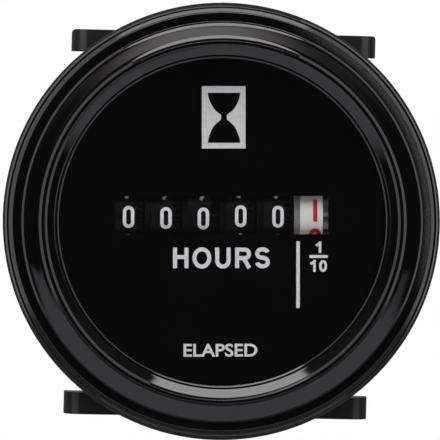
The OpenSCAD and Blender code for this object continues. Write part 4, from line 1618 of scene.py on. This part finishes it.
@dataclass
class Section:
    """A turned section, walked outwards from its sight edge by tilts: positive falls outwards."""

    radius: float
    height: float
    tilt: float = -90.0
    fine_deg: float = 4.0

    def __post_init__(self) -> None:
        """Start at the sight edge."""
        self.points: list[Point] = [(self.radius, self.height)]

    def step(self, radius: float, height: float) -> None:
        """Go straight to a point.

        Args:
            radius: its distance from the axis, in mm.
            height: its height above the flange.
        """
        self.radius, self.height = radius, height
        self.points.append((radius, height))

    def level(self, radius: float) -> None:
        """Go straight out to a radius, in mm, at the present height."""
        self.step(radius, self.height)

    def run(self, width: float) -> None:
        """Run on straight at the present tilt.

        Args:
            width: how far outwards, in mm.
        """
        self.step(self.radius + width, self.height - width * math.tan(math.radians(self.tilt)))

    def bend(self, round_mm: float, tilt: float) -> None:
        """Bend to another tilt; a larger one bends convex, a smaller one hollow.

        Args:
            round_mm: the bend's radius.
            tilt: the tilt after it, in degrees.
        """
        sign = 1 if tilt > self.tilt else -1
        start = math.radians(self.tilt)
        r0 = self.radius - sign * round_mm * math.sin(start)
        h0 = self.height - sign * round_mm * math.cos(start)
        steps = max(3, round(abs(tilt - self.tilt) / self.fine_deg))
        for k in range(1, steps + 1):
            at = start + (math.radians(tilt) - start) * k / steps
            self.step(r0 + sign * round_mm * math.sin(at), h0 + sign * round_mm * math.cos(at))
        self.tilt = tilt

    def sweep(self, width: float, tilt: float) -> None:
        """Bend to another tilt over a given width.

        Args:
            width: how far outwards, in mm.
            tilt: the tilt after it, in degrees.
        """
        turn = abs(math.sin(math.radians(tilt)) - math.sin(math.radians(self.tilt)))
        self.bend(width / turn, tilt)


@dataclass
class Bezel:
    """The bezel, turned with the bends that its solid has as plain edges; tilts are in degrees."""

    flange_mm: float = -1.8
    lens_mm: float = 1.4
    recess_r_mm: float = 24.4
    sight_r_mm: float = 22.06
    sight_h_mm: float = 1.97
    lens_top_mm: float = 1.93
    lens_side_r_mm: float = 22.48
    lip_mm: float = 0.19
    lip_r_mm: float = 22.54
    step_mm: float = 0.13
    line_tilt: float = -42.5
    cone_mm: float = 0.86
    cone_tilts: Point = (-34, -40)
    glint_mm: float = 0.32
    glint_tilt: float = -44.6
    crest_r_mm: float = 24.36
    slopes_mm: Point = (0.28, 0.18)
    slope_tilt: float = 46
    band_r_mm: float = 26.42
    band_tilts: Point = (9, 12)
    rim_h_mm: float = 1.3
    foot_mm: float = 0.02
    shoulder_r_mm: float = 28.19
    shoulder_tilt: float = 53
    ledge_r_mm: float = 29.03
    edge_mm: float = 0.27
    edge_tilt: float = 60
    hollows_mm: Point = (0.3, 0.4)
    swells_mm: Point = (1.0, 0.85)
    shoulder_mm: float = 6.9
    smooth_deg: float = 25
    turns: int = 240

    def section(self) -> list[Point]:
        """Walk the section from the lip to the outer edge.

        Returns:
            Radius and height of each point, as a closed outline.
        """
        flat, wall = 0, 90
        crisp, sharp, eased, blunt = 0.03, 0.04, 0.05, 0.1
        walk = Section(self.sight_r_mm, self.sight_h_mm)
        walk.bend(sharp, self.line_tilt)
        walk.run(self.lip_mm)
        walk.bend(eased, flat)
        walk.level(self.lip_r_mm)
        walk.bend(eased, self.line_tilt)
        walk.run(self.step_mm)
        walk.bend(self.hollows_mm[0], self.cone_tilts[0])
        walk.sweep(self.cone_mm, self.cone_tilts[1])
        walk.bend(self.hollows_mm[1], self.glint_tilt)
        walk.run(self.glint_mm)
        walk.bend(crisp, flat)
        walk.level(self.crest_r_mm)
        walk.bend(sharp, self.slope_tilt)
        walk.run(self.slopes_mm[0])
        walk.bend(self.swells_mm[0], self.band_tilts[0])
        walk.sweep(self.band_r_mm - walk.radius, self.band_tilts[1])
        walk.bend(self.swells_mm[1], self.slope_tilt)
        walk.run(self.slopes_mm[1])
        walk.bend(blunt, wall)
        walk.step(walk.radius, self.rim_h_mm + self.foot_mm)
        walk.bend(self.foot_mm, flat)
        walk.level(self.shoulder_r_mm)
        walk.bend(blunt, self.slope_tilt)
        walk.bend(self.shoulder_mm, self.shoulder_tilt)
        walk.bend(crisp, flat)
        walk.level(self.ledge_r_mm)
        walk.bend(sharp, self.edge_tilt)
        walk.run(self.edge_mm)
        walk.bend(eased, wall)
        back = [
            (walk.radius, 0.0),
            (self.recess_r_mm, 0.0),
            (self.recess_r_mm, self.lens_mm),
            (self.lens_side_r_mm, self.lens_mm),
            (self.lens_side_r_mm, self.lens_top_mm),
            (self.sight_r_mm, self.lens_top_mm),
        ]
        return walk.points + back

    def build(self, gloss: Material) -> None:
        """Turn the section round the meter's axis.

        Args:
            gloss: its finish.
        """
        outline = [(r, self.flange_mm - h) for r, h in self.section()]
        obj = Pen.shape(Pen.trace("bezel_section", [(True, outline)]))
        Bench.spin(obj, self.turns)
        piece = Bench.settle(obj, "turned_bezel", "housing", "bezel", gloss, self.smooth_deg)
        Bench.apply(piece, "WEIGHTED_NORMAL", mode="FACE_AREA", weight=80, keep_sharp=True)
        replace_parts(piece, "bezel")


@dataclass
class Housing:
    """Bezel, lens, gasket, case and bracket."""

    nodes: dict[str, Object]

    def dress(self) -> None:
        """Give the outer pieces their finishes."""
        bezel = MouldedPlastic(
            "gloss black bezel", (0.0022, 0.0021, 0.002), (0.03, 0.06), grain_mm=0.5, depth_mm=0.0002,
            specular=0.6, edge_mm=0.03, wear=0.2, dust=0.1, film=Film(0.075),
        )
        case = MouldedPlastic(
            "satin black case", (0.011, 0.011, 0.0115), (0.38, 0.52), grain_mm=0.16, depth_mm=0.006,
            edge_mm=0.15, wear=0.5, dust=0.5,
        )
        # The lighter band near each ear's outer end is a painted highlight, standing in for light on the
        # rounded end.
        bracket = MouldedPlastic(
            "satin black bracket", (0.026, 0.0255, 0.0252), (0.45, 0.55), grain_mm=0.3, depth_mm=0.003,
            specular=0.03, edge_mm=0.18, wear=0.4, dust=0.4,
            paint_and_highlight=(0.08, 0.076, 0.077), paint_and_highlight_mm=(18.8, 19.7), paint_and_highlight_soft_mm=0.22, paint_and_highlight_turn_deg=-1.35,
        )
        gasket = MouldedPlastic(
            "black rubber gasket", (0.008, 0.008, 0.008), (0.7, 0.85), grain_mm=0.1, depth_mm=0.006,
            specular=0.25,
        )
        lens = ClearPlastic("clear lens", (0.97, 0.975, 0.97), roughness=0.012, ior=1.49)
        Bezel().build(bezel.material())
        for name, finish in (("case", case), ("bracket", bracket), ("lens_gasket", gasket), ("lens", lens)):
            dress(self.nodes, [name], finish.material())


@dataclass
class Movement:
    """Counter frame, carry pinions, drive train, motor and circuit board."""

    nodes: dict[str, Object]

    def dress(self) -> None:
        """Give the inner pieces their finishes."""
        frame = MouldedPlastic(
            "dark counter frame", (0.01, 0.01, 0.011), (0.5, 0.65), grain_mm=0.18, depth_mm=0.006,
            specular=0.3,
        )
        acetal = MouldedPlastic(
            "natural acetal", (0.72, 0.69, 0.6), (0.3, 0.42), grain_mm=0.3, depth_mm=0.003,
            edge_mm=0.04, wear=0.2, dust=0.1, glow=0.1,
        )
        ferrite = MouldedPlastic(
            "sintered ferrite", (0.05, 0.05, 0.052), (0.5, 0.7), grain_mm=0.08, depth_mm=0.01, specular=0.6
        )
        epoxy = MouldedPlastic(
            "moulded chip body", (0.014, 0.014, 0.015), (0.5, 0.62), grain_mm=0.07, depth_mm=0.006
        )
        sleeve = MouldedPlastic(
            "shrunk sleeve", (0.03, 0.045, 0.1), (0.25, 0.36), grain_mm=0.6, depth_mm=0.004
        )
        iron = PlatedMetal("annealed iron", (0.4, 0.4, 0.41), (0.3, 0.29, 0.28), (0.3, 0.5), Drawn.Y)
        zinc = PlatedMetal("zinc plated steel", (0.66, 0.66, 0.64), (0.56, 0.55, 0.5), (0.22, 0.4))
        can = PlatedMetal("drawn can", (0.7, 0.7, 0.68), (0.6, 0.6, 0.58), (0.18, 0.34), Drawn.Z)
        tin = PlatedMetal("tinned brass", (0.74, 0.72, 0.66), (0.68, 0.6, 0.44), (0.2, 0.38), Drawn.Y)
        copper = WoundWire("enamelled copper", (0.62, 0.25, 0.1), (0.12, 0.03, 0.01))
        board = SolderMask("green solder mask", (0.012, 0.09, 0.03), (0.03, 0.17, 0.06))
        resistor = BandedBody(
            "lacquered resistor", (0.55, 0.4, 0.24),
            ((0.1, 0.03, 0.01), (0.01, 0.01, 0.01), (0.45, 0.03, 0.02)),
            self.middle_mm("resistor"), axis=0, half_mm=3.2, pitch_mm=1.4,
        )
        diode = BandedBody(
            "moulded diode", (0.013, 0.013, 0.014), ((0.5, 0.5, 0.5),),
            self.middle_mm("diode"), axis=0, half_mm=2.6, pitch_mm=1.6,
        )
        spacers = ["wheel_spacer", "pinion_spacer"]
        wheels = ["third_wheel", "second_wheel", "rotor_pinion"]
        pinions = [f"carry_pinion_{k}" for k in range(1, 6)]
        for finish, names in (
            (frame, ["counter_frame", "train_bridge"]),
            (acetal, [*spacers, *wheels, "coil_bobbin", *pinions]),
            (ferrite, ["rotor_magnet"]),
            (iron, ["stator", "coil_core"]),
            (zinc, ["bridge_screws", "wheel_shaft", "pinion_shaft", "motor_screws"]),
            (tin, ["terminal_positive", "terminal_negative"]),
            (copper, ["coil_winding"]),
            (board, ["circuit_board"]),
            (epoxy, ["controller_chip"]),
            (can, ["quartz_crystal"]),
            (sleeve, ["capacitor"]),
            (resistor, ["resistor"]),
            (diode, ["diode"]),
        ):
            dress(self.nodes, names, finish.material())

    @staticmethod
    def middle_mm(node: str) -> Triple:
        """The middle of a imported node's box, in mm."""
        low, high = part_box(node)
        return tuple((a + b) / 2 / MM for a, b in zip(low, high))


def main() -> None:
    """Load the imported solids, dress them and set the studio."""
    logging.basicConfig(level=logging.INFO, format="%(message)s")
    for item in list(bpy.data.objects):
        bpy.data.objects.remove(item)
    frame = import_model()
    nodes = frame["nodes"]
    Studio().build()
    Housing(nodes).dress()
    Movement(nodes).dress()
    dial = MouldedPlastic(
        "flat black dial", (0.0008, 0.0008, 0.0008), (0.5, 0.6), grain_mm=0.07, depth_mm=0.002,
        specular=0.01, wear=0.2, dust=0.1,
    )
    dress(nodes, ["dial"], dial.material())
    Dial().build(PrintInk("pale grey print", (0.79, 0.81, 0.84)).material())
    counter = Counter(nodes)
    black = MouldedPlastic(
        "satin black drum", (0.003, 0.003, 0.0031), (0.4, 0.5), grain_mm=0.2, depth_mm=0.002,
        specular=0.08, edge_mm=0.05, wear=0.6,
    )
    white = MouldedPlastic(
        "painted tenths drum", (0.32, 0.31, 0.3), (0.32, 0.42), grain_mm=0.3, depth_mm=0.002,
        specular=0.4, edge_mm=0.05, wear=0.1,
        paint_and_highlight=(0.86, 0.82, 0.79), paint_and_highlight_mm=(10.66, 13.76),
    )
    counter.dress(black.material(), white.material())
    counter.build(
        PrintInk("white digit ink", (0.93, 0.95, 0.98)).material(),
        PrintInk("red digit ink", (0.62, 0.012, 0.014)).material(),
    )
    fixings = Fixings()
    steel = PlatedMetal(
        "zinc plated fixings", (0.66, 0.66, 0.64), (0.56, 0.55, 0.5), (0.22, 0.4), Drawn.Y
    )
    plated = steel.material()
    fixings.washers(plated)
    fixings.nuts(plated)
    fixings.studs(plated)


if __name__ == "__main__":
    main()
